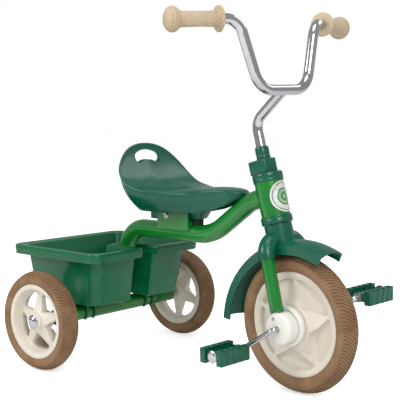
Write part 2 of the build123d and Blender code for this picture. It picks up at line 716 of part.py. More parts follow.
def bar_sweep(radius, bore=0.0):
    """The handlebar's bent tube."""
    with BuildPart() as bar:
        with BuildLine() as path:
            FilletPolyline(
                *bar_points,
                *[flipped(point) for point in reversed(bar_points)],
                radius=bar_bends,
            )
        with BuildSketch(Plane(path.line @ 0, z_dir=path.line % 0)):
            Circle(radius)
            if bore:
                Circle(bore, mode=Mode.SUBTRACT)
        sweep(path=path.line)
    return bar.part


finish(bar_sweep(BAR_RADIUS, BAR_RADIUS - BAR_WALL), "handlebar", STEERED)

stem_low = Vector(AXLE_UP) * (COLLAR_FROM - STEM_IN_FORK)
bar_low = stem_elbow + Vector(*BAR_LOW)
with BuildPart() as stem:
    with BuildLine() as stem_path:
        FilletPolyline(stem_low, stem_elbow, bar_low, radius=STEM_BEND)
    with BuildSketch(Plane(stem_path.line @ 0, z_dir=stem_path.line % 0)):
        Circle(BAR_RADIUS)
        Circle(BAR_RADIUS - BAR_WALL, mode=Mode.SUBTRACT)
    sweep(path=stem_path.line)
    add(bar_sweep(BAR_RADIUS), mode=Mode.SUBTRACT)
finish(largest(stem.part), "stem", STEERED)

for side, word in ((1, "left"), (-1, "right")):
    start = grip_start if side > 0 else flipped(grip_start)
    out = grip_out if side > 0 else flipped(grip_out)
    radial = Vector(1, 0, 0)
    radial = (radial - out * radial.dot(out)).normalized()
    with BuildPart() as grip:
        with BuildSketch(Plane(origin=start, x_dir=radial, z_dir=radial.cross(out))):
            with BuildLine():
                Polyline(
                    (0, GRIP_END_AT + GRIP_END_HALF),
                    (0, BAR_IN_GRIP),
                    (BAR_RADIUS, BAR_IN_GRIP),
                    (BAR_RADIUS, 0),
                    (GRIP_FLANGE_RADIUS, 0),
                    (GRIP_FLANGE_RADIUS, GRIP_FLANGE_THICK),
                    (GRIP_RADIUS, GRIP_FLANGE_THICK),
                    (GRIP_RADIUS, GRIP_END_AT - GRIP_END_HALF),
                )
                Spline(
                    (GRIP_RADIUS, GRIP_END_AT - GRIP_END_HALF),
                    (GRIP_END_RADIUS, GRIP_END_AT),
                    (0, GRIP_END_AT + GRIP_END_HALF),
                    tangents=[(1, 0.2), (-1, 0)],
                )
            make_face()
        revolve(axis=Axis(start, out))
    finish(grip.part, f"grip_{word}", STEERED)


# ---- front wheel, crank and pedals ---------------------------------------------------------
def tyre(outside, rim_radius, width, rim_half):
    """A round-shouldered rubber ring about Y, flat where it sits on the rim."""
    height = outside - rim_radius
    with BuildPart() as ring:
        with BuildSketch(Plane.YZ):
            with BuildLine() as half:
                Line((0, rim_radius), (rim_half, rim_radius))
                Spline(
                    (rim_half, rim_radius),
                    (width / 2, rim_radius + 0.42 * height),
                    (0.36 * width, rim_radius + 0.85 * height),
                    (0, outside),
                    tangents=[(0.6, 1), (-1, 0)],
                )
                mirror(about=Plane.YZ)
            make_face()
        revolve(axis=Axis.Y)
    return ring.part


def wheel(rim_radius, rim_half, hub_radius, hub_in, hub_out, arm_half, web_half, bore):
    """A moulded wheel about Y: rim, hub and five arms, and a closed web where it has one."""
    inner_rim = rim_radius - RIM_THICK
    with BuildPart() as moulding:
        add(
            revolved_ring(
                [
                    (inner_rim, -rim_half),
                    (rim_radius, -rim_half),
                    (rim_radius, rim_half),
                    (inner_rim, rim_half),
                ]
            )
        )
        add(revolved_ring([(bore, hub_in), (hub_radius, hub_in), (hub_radius, hub_out), (bore, hub_out)]))
        if web_half:
            add(
                revolved_ring(
                    [
                        (hub_radius - 2, -web_half),
                        (inner_rim + 2, -web_half),
                        (inner_rim + 2, web_half),
                        (hub_radius - 2, web_half),
                    ]
                )
            )
        with BuildSketch(SIDE.offset(-arm_half)):
            with PolarLocations(0, ARM_COUNT, start_angle=WHEEL_AT_REST):
                with Locations(((hub_radius + inner_rim) / 2, 0)):
                    Rectangle(inner_rim - hub_radius + 4, ARM_WIDTH)
        extrude(amount=2 * arm_half)
    return moulding.part


finish(tyre(FRONT_RADIUS, FRONT_RIM_RADIUS, FRONT_TYRE_WIDTH, FRONT_RIM_HALF), "front_tyre", STEERED)
finish(
    wheel(
        FRONT_RIM_RADIUS,
        FRONT_RIM_HALF,
        FRONT_HUB_RADIUS,
        -FRONT_HUB_HALF,
        FRONT_HUB_HALF,
        FRONT_ARM_HALF,
        FRONT_WEB_HALF,
        SPINDLE_RADIUS,
    ),
    "front_wheel",
    STEERED,
)

for side, word in ((1, "left"), (-1, "right")):
    hub_disc = revolved_ring(
        [
            (SPINDLE_RADIUS, side * FRONT_HUB_HALF),
            (HUB_DISC_RADIUS - 3, side * FRONT_HUB_HALF),
            (HUB_DISC_RADIUS, side * (FRONT_HUB_HALF + 3)),
            (HUB_DISC_RADIUS, side * (HUB_DISC_FACE - 2)),
            (HUB_DISC_RADIUS - 2, side * HUB_DISC_FACE),
            (SPINDLE_RADIUS, side * HUB_DISC_FACE),
        ]
    )
    finish(hub_disc, f"hub_disc_{word}", STEERED)
    with BuildPart() as bearing_cover:
        add(
            revolved_ring(
                [
                    (SPINDLE_RADIUS + RUN_FIT, side * COVER_FROM),
                    (COVER_RADIUS, side * COVER_FROM),
                    (COVER_RADIUS, side * (COVER_TO - 4)),
                    (COVER_RADIUS - 4, side * COVER_TO),
                    (SPINDLE_RADIUS + RUN_FIT, side * COVER_TO),
                ]
            )
        )
        with BuildSketch(FORK_FACE.offset(-TAB_WIDTH / 2 - SLACK)):
            with Locations((side * LEG_LOW_Y, (COVER_RADIUS + 5 - TAB_DROP - SLACK) / 2)):
                Rectangle(TAB_THICK + 2 * SLACK, COVER_RADIUS + 5 + TAB_DROP + SLACK)
        extrude(amount=TAB_WIDTH + 2 * SLACK, mode=Mode.SUBTRACT)
    finish(bearing_cover.part, f"bearing_cover_{word}", STEERED)

with BuildPart() as cover_screws:
    for side in (-1, 1):
        with BuildSketch(SIDE.offset(-side * COVER_TO)):
            with Locations(SCREW_AT):
                Circle(SCREW_HEAD)
        extrude(amount=-side * 2)
finish(cover_screws.part, "cover_screws", STEERED)

crank_arm = Vector(cos(radians(CRANK_AT_REST)), 0, sin(radians(CRANK_AT_REST))) * CRANK_LENGTH
left_y = Vector(0, 1, 0)
pedal_end = PEDAL_FROM + PEDAL_LENGTH
spindle_end = pedal_end - 2
with BuildPart() as crank_axle:
    with BuildLine() as crank_path:
        FilletPolyline(
            crank_arm - left_y * spindle_end,
            crank_arm - left_y * CRANK_OUT_Y,
            -left_y * CRANK_IN_Y,
            left_y * CRANK_IN_Y,
            -crank_arm + left_y * CRANK_OUT_Y,
            -crank_arm + left_y * spindle_end,
            radius=CRANK_BEND,
        )
    with BuildSketch(Plane(crank_path.line @ 0, z_dir=crank_path.line % 0)):
        Circle(SPINDLE_RADIUS)
    sweep(path=crank_path.line)
finish(crank_axle.part, "crank_axle", STEERED)

core_length = PEDAL_LENGTH - PEDAL_CAP_THICK - SLACK
with BuildPart() as pedal_washers:
    for side in (-1, 1):
        centre = crank_arm * -side
        face = PEDAL_FROM - SLACK
        with BuildSketch(SIDE.offset(-side * (face - WASHER_THICK))):
            with Locations((centre.X, centre.Z)):
                Circle(WASHER_RADIUS)
                Circle(SPINDLE_RADIUS, mode=Mode.SUBTRACT)
        extrude(amount=-side * WASHER_THICK)
finish(pedal_washers.part, "pedal_washers", STEERED)

for side, word in ((1, "left"), (-1, "right")):
    centre = crank_arm * -side
    at_pedal = (centre.X, centre.Z)
    rail_shift = (PEDAL_WIDTH - PEDAL_RAIL) / 2
    with BuildPart() as pedal:
        with BuildSketch(SIDE.offset(-side * PEDAL_FROM)):
            with Locations((centre.X - rail_shift, centre.Z), (centre.X + rail_shift, centre.Z)):
                RectangleRounded(PEDAL_RAIL, PEDAL_HEIGHT, 2)
        extrude(amount=-side * PEDAL_LENGTH)
        with BuildSketch(SIDE.offset(-side * PEDAL_FROM)):
            with Locations(at_pedal):
                Rectangle(PEDAL_WIDTH - PEDAL_RAIL, 2 * PEDAL_CORE)
        extrude(amount=-side * core_length)
        with BuildSketch(Plane.XY.offset(centre.Z - PEDAL_HEIGHT)):
            for step in range(PEDAL_SLOTS):
                slot_y = side * (PEDAL_FROM + core_length * (step + 0.5) / PEDAL_SLOTS)
                with Locations((centre.X - PEDAL_SLOT_AT, slot_y), (centre.X + PEDAL_SLOT_AT, slot_y)):
                    Rectangle(PEDAL_SLOT_WIDTH, core_length / PEDAL_SLOTS - PEDAL_SLOT_GAP)
        extrude(amount=2 * PEDAL_HEIGHT, mode=Mode.SUBTRACT)
        with BuildSketch(SIDE.offset(-side * PEDAL_FROM)):
            with Locations(at_pedal):
                Circle(SPINDLE_RADIUS + RUN_FIT)
        extrude(amount=-side * PEDAL_LENGTH, mode=Mode.SUBTRACT)
    finish(pedal.part, f"pedal_{word}", STEERED)
    with BuildPart() as pedal_cap:
        with BuildSketch(SIDE.offset(-side * (pedal_end - PEDAL_CAP_THICK))):
            with Locations(at_pedal):
                Circle(PEDAL_CAP_RADIUS)
        extrude(amount=-side * PEDAL_CAP_THICK)
        fillet(pedal_cap.faces().sort_by(Axis.Y)[-1 if side > 0 else 0].edges(), 3.5)
        with BuildSketch(SIDE.offset(-side * (pedal_end - PEDAL_CAP_THICK))):
            with Locations(at_pedal):
                Circle(SPINDLE_RADIUS)
        extrude(amount=-side * (PEDAL_CAP_THICK - 2), mode=Mode.SUBTRACT)
    finish(pedal_cap.part, f"pedal_cap_{word}", STEERED)


# ---- rear wheels ---------------------------------------------------------------------------
rear_tyre = tyre(REAR_RADIUS, REAR_RIM_RADIUS, REAR_TYRE_WIDTH, REAR_RIM_HALF)
rear_wheel = wheel(
    REAR_RIM_RADIUS,
    REAR_RIM_HALF,
    REAR_HUB_RADIUS,
    REAR_HUB_IN,
    REAR_HUB_OUT,
    REAR_ARM_HALF,
    0,
    AXLE_RADIUS + RUN_FIT,
)
cap_seat = REAR_HUB_OUT + SLACK
cap_face = cap_seat + REAR_CAP_THICK
cap_socket = AXLE_HALF - TRACK / 2
cap_sag = REAR_CAP_THICK - 2
cap_dome = (REAR_CAP_RADIUS**2 + cap_sag**2) / (2 * cap_sag)
with BuildPart() as rear_cap:
    with BuildSketch(Plane.YZ):
        with BuildLine():
            Polyline(
                (cap_face, 0),
                (cap_socket, 0),
                (cap_socket, AXLE_RADIUS),
                (cap_seat, AXLE_RADIUS),
                (cap_seat, REAR_CAP_RADIUS),
                (cap_seat + 2, REAR_CAP_RADIUS),
            )
            RadiusArc((cap_seat + 2, REAR_CAP_RADIUS), (cap_face, 0), cap_dome)
        make_face()
    revolve(axis=Axis.Y)

for side, word, turn in ((1, "left", 0), (-1, "right", 180)):
    place = Location(REAR_AXLE + left_y * (side * TRACK / 2), (0, 0, 1), turn)
    finish(rear_tyre, f"rear_tyre_{word}", place)
    finish(rear_wheel, f"rear_wheel_{word}", place)
    finish(rear_cap.part, f"rear_cap_{word}", place)

spacer_from = BEAM_HALF + BUSH_FLANGE
spacer_to = TRACK / 2 + REAR_HUB_IN - SLACK
with BuildPart() as axle_spacers:
    for side in (-1, 1):
        with BuildSketch(SIDE.offset(-side * spacer_from)):
            with Locations((0, REAR_RADIUS)):
                Circle(SPACER_RADIUS)
                Circle(AXLE_RADIUS, mode=Mode.SUBTRACT)
        extrude(amount=-side * (spacer_to - spacer_from))
finish(axle_spacers.part, "axle_spacers")
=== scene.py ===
# %% [markdown]
# # A children's tricycle, dressed over its working frame
#
# This lesson keeps the bent tubes and rods, gives them paint and chrome, and models the moulded,
# turned and rubber parts anew with the detail a mould leaves. Every new part is then tied to the
# body that it moves with.

import json
import math

import bmesh
import bpy
from mathutils import Matrix, Vector


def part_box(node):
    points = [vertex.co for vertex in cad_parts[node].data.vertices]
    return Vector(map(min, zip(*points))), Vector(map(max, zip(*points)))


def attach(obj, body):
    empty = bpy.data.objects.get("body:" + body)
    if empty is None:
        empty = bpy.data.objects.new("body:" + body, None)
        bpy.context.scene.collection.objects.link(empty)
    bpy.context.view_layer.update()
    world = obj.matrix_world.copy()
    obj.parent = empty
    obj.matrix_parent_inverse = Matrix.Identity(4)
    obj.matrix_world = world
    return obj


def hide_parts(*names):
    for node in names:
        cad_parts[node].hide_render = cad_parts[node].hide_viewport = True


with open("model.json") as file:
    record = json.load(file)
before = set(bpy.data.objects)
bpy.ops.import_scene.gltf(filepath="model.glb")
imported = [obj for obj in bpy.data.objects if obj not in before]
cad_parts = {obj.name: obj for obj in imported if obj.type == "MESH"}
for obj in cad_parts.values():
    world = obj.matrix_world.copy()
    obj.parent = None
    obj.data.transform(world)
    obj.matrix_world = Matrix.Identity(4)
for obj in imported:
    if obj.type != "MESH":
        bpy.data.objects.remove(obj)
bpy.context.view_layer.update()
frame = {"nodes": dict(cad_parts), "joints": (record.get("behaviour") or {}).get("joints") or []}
nodes = frame["nodes"]
joints = {joint["name"]: joint for joint in frame["joints"]}

# %% [markdown]
# ## Places to work from
#
# A tricycle is measured from its axles. The front end is turned a little to the rider's right,
# so its parts are modelled square to their own axle and then carried there by one matrix. The
# matrix comes from the two joint axes that the frame gives: the steering axis and the front axle.

# %% places and axes
MM = 0.001


def mm(*values):
    """Millimetres as a point in metres."""
    return Vector(values) * MM


steer_axis = Vector(joints["steering_turn"]["axis"])
front_axle = Vector(joints["front_wheel_spin"]["pos_m"])
front_across = Vector(joints["front_wheel_spin"]["axis"])
steer_angle = -Vector((0, 1, 0)).angle(front_across)
FRONT = Matrix.Translation(front_axle) @ Matrix.Rotation(steer_angle, 4, steer_axis)
head_turn = math.atan2(-steer_axis.x, steer_axis.z)
HEAD = FRONT @ Matrix.Rotation(-head_turn, 4, "Y")
HEAD_FIXED = Matrix.Translation(front_axle) @ Matrix.Rotation(-head_turn, 4, "Y")
print("steered by", round(math.degrees(steer_angle), 2), "degrees")
print("head leans by", round(math.degrees(head_turn), 2), "degrees")


def facing(side):
    """Turns a piece modelled about Z so that Z points to the rider's left (1) or right (-1)."""
    return Matrix.Rotation(math.radians(-90 * side), 4, "X")


# %% [markdown]
# ## A small bench of tools
#
# Nearly everything here starts as a ring of points that is extruded again and again, the way a
# potter builds a wall. `turned` scales each new ring, which makes lathe shapes such as tyres and
# caps. `lofted` moves each new ring to a free outline, which makes the saddle and the tray. The
# other helpers only select, apply and place, so that each later step stays short to read.

# %% bench tools
SAME_POINT = 1e-6      # metres, for telling that two points are one
MERGE_WITHIN = 1e-5    # metres, for merging doubled points


def only(piece):
    """Select one object and nothing else."""
    bpy.ops.object.select_all(action="DESELECT")
    piece.select_set(True)
    bpy.context.view_layer.objects.active = piece
    return piece


def open_mesh(piece):
    """Enter edit mode with the whole mesh selected."""
    only(piece)
    bpy.ops.object.mode_set(mode="EDIT")
    bpy.ops.mesh.select_all(action="SELECT")


def close_mesh():
    """Leave edit mode."""
    bpy.ops.object.mode_set(mode="OBJECT")


def choose(piece, kind, test):
    """In edit mode, select the vertices, edges or faces whose middle (and normal) pass the test."""
    bpy.ops.mesh.select_mode(type=kind)
    bpy.ops.mesh.select_all(action="DESELECT")
    mesh = bmesh.from_edit_mesh(piece.data)
    if kind == "FACE":
        for face in mesh.faces:
            face.select_set(bool(test(face.calc_center_median(), face.normal)))
    elif kind == "EDGE":
        for edge in mesh.edges:
            a, b = edge.verts
            edge.select_set(bool(test((a.co + b.co) / 2, (b.co - a.co).normalized())))
    else:
        for vertex in mesh.verts:
            vertex.select_set(bool(test(vertex.co, vertex.normal)))
    mesh.select_flush_mode()
    bmesh.update_edit_mesh(piece.data)


def ring(name, count, radius=0.01, height=0.0):
    """A circle of points about Z, the start of a turned or lofted piece."""
    bpy.ops.object.select_all(action="DESELECT")
    bpy.ops.mesh.primitive_circle_add(vertices=count, radius=radius, location=(0, 0, height))
    piece = bpy.context.object
    piece.name = name
    bpy.ops.object.transform_apply(location=True, rotation=True, scale=True)
    open_mesh(piece)
    return piece


def turned(name, profile, steps=96, closed=False, first_pole=None, last_pole=None):
    """A lathe shape about Z from (radius, height) in millimetres, ring after ring.
    A pole is the height at which an end closes to a point on the axis."""
    radius, height = profile[0]
    piece = ring(name, steps, radius * MM, height * MM)
    for next_radius, next_height in profile[1:]:
        bpy.ops.mesh.extrude_edges_move(
            TRANSFORM_OT_translate={"value": (0, 0, (next_height - height) * MM)}
        )
        grow = next_radius / radius
        bpy.ops.transform.resize(value=(grow, grow, 1), center_override=(0, 0, next_height * MM))
        radius, height = next_radius, next_height
    if last_pole is not None:
        shut_ring(last_pole - height)
    if first_pole is not None:
        radius, height = profile[0]
        choose(piece, "VERT", lambda at, _: abs(at.z - height * MM) < SAME_POINT
               and abs(at.xy.length - radius * MM) < SAME_POINT)
        shut_ring(first_pole - height)
    bpy.ops.mesh.select_mode(type="VERT")
    tidy_shell(closed)
    return piece


def shut_ring(rise):
    """Extrude the selected ring by rise millimetres and gather it into one point."""
    bpy.ops.mesh.extrude_edges_move(TRANSFORM_OT_translate={"value": (0, 0, rise * MM)})
    bpy.ops.mesh.merge(type="CENTER")


def tidy_shell(closed=True):
    """Merge what meets, point the faces outwards and leave edit mode."""
    bpy.ops.mesh.select_all(action="SELECT")
    if closed:
        bpy.ops.mesh.remove_doubles(threshold=MERGE_WITHIN)
    bpy.ops.mesh.normals_make_consistent(inside=False)
    close_mesh()


def lofted(name, loops, fill_first=False, fill_last=False):
    """A ring extruded once for each further loop of points, in metres, and moved point by point."""
    count = len(loops[0])
    piece = ring(name, count)
    mesh = bmesh.from_edit_mesh(piece.data)
    mesh.verts.ensure_lookup_table()
    for vertex, point in zip(mesh.verts, loops[0]):
        vertex.co = point
    bmesh.update_edit_mesh(piece.data)
    if fill_first:
        bpy.ops.mesh.edge_face_add()
        choose(piece, "EDGE", lambda *_: True)
    for index, loop in enumerate(loops[1:], start=1):
        bpy.ops.mesh.extrude_edges_move()
        mesh = bmesh.from_edit_mesh(piece.data)
        mesh.verts.ensure_lookup_table()
        first = (index - 1) * count
        old = {mesh.verts[first + step]: step for step in range(count)}
        for vertex in list(mesh.verts)[first + count:]:
            below = [e.other_vert(vertex) for e in vertex.link_edges]
            vertex.index = first + count + next(old[v] for v in below if v in old)
        mesh.verts.sort()
        mesh.verts.ensure_lookup_table()
        for step, point in enumerate(loop):
            mesh.verts[first + count + step].co = point
        bmesh.update_edit_mesh(piece.data)
    if fill_last:
        bpy.ops.mesh.edge_face_add()
    tidy_shell()
    return piece


def finish_with(piece, kind, **settings):
    """Add one modifier, set it and apply it."""
    only(piece)
    bpy.ops.object.modifier_add(type=kind)
    modifier = piece.modifiers[-1]
    for setting, value in settings.items():
        setattr(modifier, setting, value)
    bpy.ops.object.modifier_apply(modifier=modifier.name)
    return piece


def rounded(piece, width, segments=2, angle=40):
    """Break the sharp edges with a small radius, in millimetres."""
    return finish_with(piece, "BEVEL", width=width * MM, segments=segments,
                       limit_method="ANGLE", angle_limit=math.radians(angle))


def cut_away(piece, cutter):
    """Take the cutter's shape out of the piece and throw the cutter away."""
    finish_with(piece, "BOOLEAN", operation="DIFFERENCE", solver="EXACT", object=cutter)
    bpy.data.objects.remove(cutter)
    return piece


def place(piece, matrix):
    """Carry a piece modelled at the origin to its place, and keep the place in its mesh."""
    piece.data.transform(matrix)
    piece.data.update()
    return piece


def joined(name, pieces):
    """Make several meshes one piece."""
    bpy.ops.object.select_all(action="DESELECT")
    for piece in pieces:
        piece.select_set(True)
    bpy.context.view_layer.objects.active = pieces[0]
    bpy.ops.object.join()
    pieces[0].name = name
    return pieces[0]


def copied(piece, name, matrix=Matrix.Identity(4)):
    """A copy with its own mesh, carried by the matrix."""
    only(piece)
    bpy.ops.object.duplicate(linked=False)
    twin = bpy.context.object
    twin.name = name
    twin.data.transform(matrix)
    if matrix.determinant() < 0:
        open_mesh(twin)
        bpy.ops.mesh.flip_normals()
        close_mesh()
    return twin


def block(name, low, high):
    """A box between two corners in millimetres."""
    low, high = mm(*low), mm(*high)
    bpy.ops.object.select_all(action="DESELECT")
    bpy.ops.mesh.primitive_cube_add(size=1, location=(low + high) / 2, scale=high - low)
    piece = bpy.context.object
    piece.name = name
    bpy.ops.object.transform_apply(location=True, rotation=True, scale=True)
    return piece


def outline_solid(name, points, low, high):
    """A flat outline of (x, y) in millimetres, filled and extruded from low to high along Z."""
    floor = [mm(x, y, low) for x, y in points]
    roof = [mm(x, y, high) for x, y in points]
    return lofted(name, [floor, roof], fill_first=True, fill_last=True)


def dressed(piece, material, slot, body, *stands_for, smooth=35):
    """Give a finished piece its material, its body and the CAD nodes it stands for. The slot is not
    used.
    """
    piece.data.materials.clear()
    piece.data.materials.append(material)
    only(piece)
    bpy.ops.object.shade_smooth_by_angle(angle=math.radians(smooth))
    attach(piece, body)
    if stands_for:
        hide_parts(*stands_for)
    print(piece.name, len(piece.data.polygons), "faces on", body)
    return piece

# %% [markdown]
# ## Shared surface effects
#
# Real plastic, paint and rubber are never one flat colour. Three effects are used by more than
# one material, so each is a node group that is built once: cloudy colour, a fine moulded skin,
# and fine scratches. A group only hands out colours and values that change over the surface. The
# fixed numbers stay on the shader.

# %% node groups
def new_group(name, inputs, outputs):
    """A shader node group with named sockets: (label, kind, value) in and (label, kind) out."""
    group = bpy.data.node_groups.new(name, "ShaderNodeTree")
    for label, kind, value in inputs:
        socket = group.interface.new_socket(label, in_out="INPUT", socket_type="NodeSocket" + kind)
        if value is not None:
            socket.default_value = value
    for label, kind in outputs:
        group.interface.new_socket(label, in_out="OUTPUT", socket_type="NodeSocket" + kind)
    return group, group.nodes.new("NodeGroupInput"), group.nodes.new("NodeGroupOutput")


def noise(tree, vector, scale, detail=3.0, roughness=0.55):
    """A noise texture in a node tree. Scale may be a number or a socket."""
    node = tree.nodes.new("ShaderNodeTexNoise")
    node.inputs["Detail"].default_value = detail
    node.inputs["Roughness"].default_value = roughness
    tree.links.new(vector, node.inputs["Vector"])
    if isinstance(scale, (int, float)):
        node.inputs["Scale"].default_value = scale
    else:
        tree.links.new(scale, node.inputs["Scale"])
    return node.outputs["Fac"]


def spread(tree, value, low, high, to_low=0.0, to_high=1.0):
    """Stretch a value from one range to another and hold it there."""
    node = tree.nodes.new("ShaderNodeMapRange")
    node.interpolation_type = "SMOOTHSTEP"
    tree.links.new(value, node.inputs["Value"])
    ends = {"From Min": low, "From Max": high, "To Min": to_low, "To Max": to_high}
    for label, setting in ends.items():
        if isinstance(setting, (int, float)):
            node.inputs[label].default_value = setting
        else:
            tree.links.new(setting, node.inputs[label])
    return node.outputs["Result"]


def blend_colors(tree, mask, first, second):
    """Mix two colours, each a socket or a fixed colour, by a mask."""
    node = tree.nodes.new("ShaderNodeMix")
    node.data_type = "RGBA"
    tree.links.new(mask, node.inputs["Factor"])
    for socket, color in ((node.inputs[6], first), (node.inputs[7], second)):
        if isinstance(color, tuple):
            socket.default_value = color
        else:
            tree.links.new(color, socket)
    return node.outputs[2]


def arithmetic(tree, operation, first, second=0.0):
    """One step of sums on two values, each a socket or a number."""
    node = tree.nodes.new("ShaderNodeMath")
    node.operation = operation
    for socket, value in zip(node.inputs, (first, second)):
        if isinstance(value, (int, float)):
            socket.default_value = value
        else:
            tree.links.new(value, socket)
    return node.outputs[0]


MOTTLE_FINER = 14.0    # times the scale of the clouds
CLOUD_SHARE, MOTTLE_SHARE = 0.75, 0.25


def build_clouds():
    """Cloudy colour: two tones drift into each other, with a finer mottle inside them."""
    group, given, out = new_group(
        "cloudy colour",
        [("Place", "Vector", None), ("Scale", "Float", 12.0), ("Main", "Color", (1, 1, 1, 1)),
         ("Drift", "Color", (1, 1, 1, 1))],
        [("Color", "Color")],
    )
    scale = given.outputs["Scale"]
    broad = noise(group, given.outputs["Place"], scale)
    finer = arithmetic(group, "MULTIPLY", scale, MOTTLE_FINER)
    fine = noise(group, given.outputs["Place"], finer)
    mixed = arithmetic(group, "ADD", arithmetic(group, "MULTIPLY", broad, CLOUD_SHARE),
                       arithmetic(group, "MULTIPLY", fine, MOTTLE_SHARE))
    mask = spread(group, mixed, 0.36, 0.64)
    color = blend_colors(group, mask, given.outputs["Main"], given.outputs["Drift"])
    group.links.new(color, out.inputs["Color"])
    return group


SWELL_COARSER = 0.04   # times the scale of the grain
SWELL_SHARE = 0.3      # of the grain's height
GLOSS_SCALE = 34.0


def build_skin():
    """Moulded skin: a fine grain for the bump, and a roughness that wanders between two values."""
    group, given, out = new_group(
        "moulded skin",
        [("Place", "Vector", None), ("Grain", "Float", 900.0), ("Smooth", "Float", 0.3),
         ("Dull", "Float", 0.45)],
        [("Height", "Float"), ("Roughness", "Float")],
    )
    grain = noise(group, given.outputs["Place"], given.outputs["Grain"], detail=2.0)
    coarser = arithmetic(group, "MULTIPLY", given.outputs["Grain"], SWELL_COARSER)
    swell = noise(group, given.outputs["Place"], coarser)
    height = arithmetic(group, "ADD", grain, arithmetic(group, "MULTIPLY", swell, SWELL_SHARE))
    wander = noise(group, given.outputs["Place"], GLOSS_SCALE, detail=5.0, roughness=0.65)
    gloss = spread(group, wander, 0.3, 0.7, given.outputs["Smooth"], given.outputs["Dull"])
    group.links.new(height, out.inputs["Height"])
    group.links.new(gloss, out.inputs["Roughness"])
    return group


# Each set of scratches: (turn in radians, stretch along the three axes).
SCRATCH_SETS = ((0.5, (900, 40, 60)), (-0.9, (60, 50, 800)))
PATCH_SCALE = 22.0


def build_scratches():
    """Fine scratches: thin bright lines where two stretched noises cross, in loose patches."""
    group, given, out = new_group(
        "fine scratches",
        [("Place", "Vector", None), ("Amount", "Float", 0.5)],
        [("Mask", "Float")],
    )
    lines = []
    for turn, stretch in SCRATCH_SETS:
        mapping = group.nodes.new("ShaderNodeMapping")
        mapping.inputs["Rotation"].default_value = (turn, turn / 2, turn)
        mapping.inputs["Scale"].default_value = stretch
        group.links.new(given.outputs["Place"], mapping.inputs["Vector"])
        streak = noise(group, mapping.outputs[0], 1.0, detail=1.0)
        lines.append(spread(group, streak, 0.66, 0.72))
    both = arithmetic(group, "MAXIMUM", *lines)
    patches = spread(group, noise(group, given.outputs["Place"], PATCH_SCALE), 0.52, 0.68)
    worn = arithmetic(group, "MULTIPLY", both, patches)
    worn = arithmetic(group, "MULTIPLY", worn, given.outputs["Amount"])
    group.links.new(worn, out.inputs["Mask"])
    return group


CLOUDS = build_clouds()
SKIN = build_skin()
SCRATCHES = build_scratches()


def use_group(material, group, place, **values):
    """Put a shared effect into a material with its own values."""
    tree = material.node_tree
    node = tree.nodes.new("ShaderNodeGroup")
    node.node_tree = group
    tree.links.new(place, node.inputs["Place"])
    for label, value in values.items():
        node.inputs[label].default_value = value
    return node


BUMP_DISTANCE = 0.0002     # metres


def surface(name, main, drift, cloud=12.0, grain=900.0, bump=0.1, smooth=0.3, dull=0.45,
            scratch=None, scratched=0.0, **fixed):
    """A material from the shared effects. The fixed values go straight onto the shader."""
    material = bpy.data.materials.new(name)
    material.use_nodes = True
    tree = material.node_tree
    shader = tree.nodes["Principled BSDF"]
    for label, value in fixed.items():
        shader.inputs[label.replace("_", " ")].default_value = value
    place = tree.nodes.new("ShaderNodeTexCoord").outputs["Object"]
    color = use_group(material, CLOUDS, place, Scale=cloud, Main=main, Drift=drift).outputs["Color"]
    skin = use_group(material, SKIN, place, Grain=grain, Smooth=smooth, Dull=dull)
    if scratch:
        mask = use_group(material, SCRATCHES, place, Amount=scratched).outputs["Mask"]
        color = blend_colors(tree, mask, color, scratch)
    bumps = tree.nodes.new("ShaderNodeBump")
    bumps.inputs["Strength"].default_value = bump
    bumps.inputs["Distance"].default_value = BUMP_DISTANCE
    tree.links.new(skin.outputs["Height"], bumps.inputs["Height"])
    tree.links.new(bumps.outputs["Normal"], shader.inputs["Normal"])
    tree.links.new(skin.outputs["Roughness"], shader.inputs["Roughness"])
    tree.links.new(color, shader.inputs["Base Color"])
    return material


# %% [markdown]
# ## The tricycle's finishes
#
# The steel is powder coated in a glossy bright green, the plastic is a deeper,
# bluer green with a satin skin, and the wheels are a warm cream. Paint gets a clear coat, chrome
# is a metal whose roughness wanders where fingers touched it, and rubber is rough with dust in it.

# %% finishes
def tone(red, green, blue):
    """An opaque colour."""
    return (red, green, blue, 1)


frame_paint = surface(
    "frame_paint", tone(0.001, 0.150, 0.014), tone(0.003, 0.190, 0.020),
    cloud=9, grain=220, bump=0.04, smooth=0.14, dull=0.24,
    scratch=tone(0.10, 0.34, 0.12), scratched=0.3,
    Coat_Weight=0.6, Coat_Roughness=0.05, Specular_IOR_Level=0.4)
plastic_green = surface(
    "plastic_green", tone(0.001, 0.086, 0.046), tone(0.002, 0.102, 0.055),
    cloud=9, grain=1500, bump=0.06, smooth=0.20, dull=0.30,
    scratch=tone(0.03, 0.17, 0.11), scratched=0.25, Specular_IOR_Level=0.42)
tray_green = surface(
    "tray_green", tone(0.001, 0.112, 0.042), tone(0.002, 0.130, 0.050),
    cloud=7, grain=1500, bump=0.05, smooth=0.17, dull=0.26,
    scratch=tone(0.03, 0.20, 0.10), scratched=0.25, Specular_IOR_Level=0.42)
tyre_rubber = surface(
    "tyre_rubber", tone(0.200, 0.112, 0.055), tone(0.270, 0.168, 0.092),
    cloud=26, grain=1200, bump=0.35, smooth=0.66, dull=0.86,
    scratch=tone(0.36, 0.26, 0.17), scratched=0.6, Specular_IOR_Level=0.25)
wheel_cream = surface(
    "wheel_cream", tone(0.66, 0.60, 0.51), tone(0.72, 0.67, 0.58),
    cloud=10, grain=1400, bump=0.08, smooth=0.34, dull=0.50,
    scratch=tone(0.38, 0.33, 0.26), scratched=0.35, Specular_IOR_Level=0.4)
cover_white = surface(
    "cover_white", tone(0.74, 0.73, 0.67), tone(0.79, 0.78, 0.73),
    cloud=16, grain=1400, bump=0.08, smooth=0.24, dull=0.38,
    scratch=tone(0.45, 0.43, 0.38), scratched=0.3, Specular_IOR_Level=0.45)
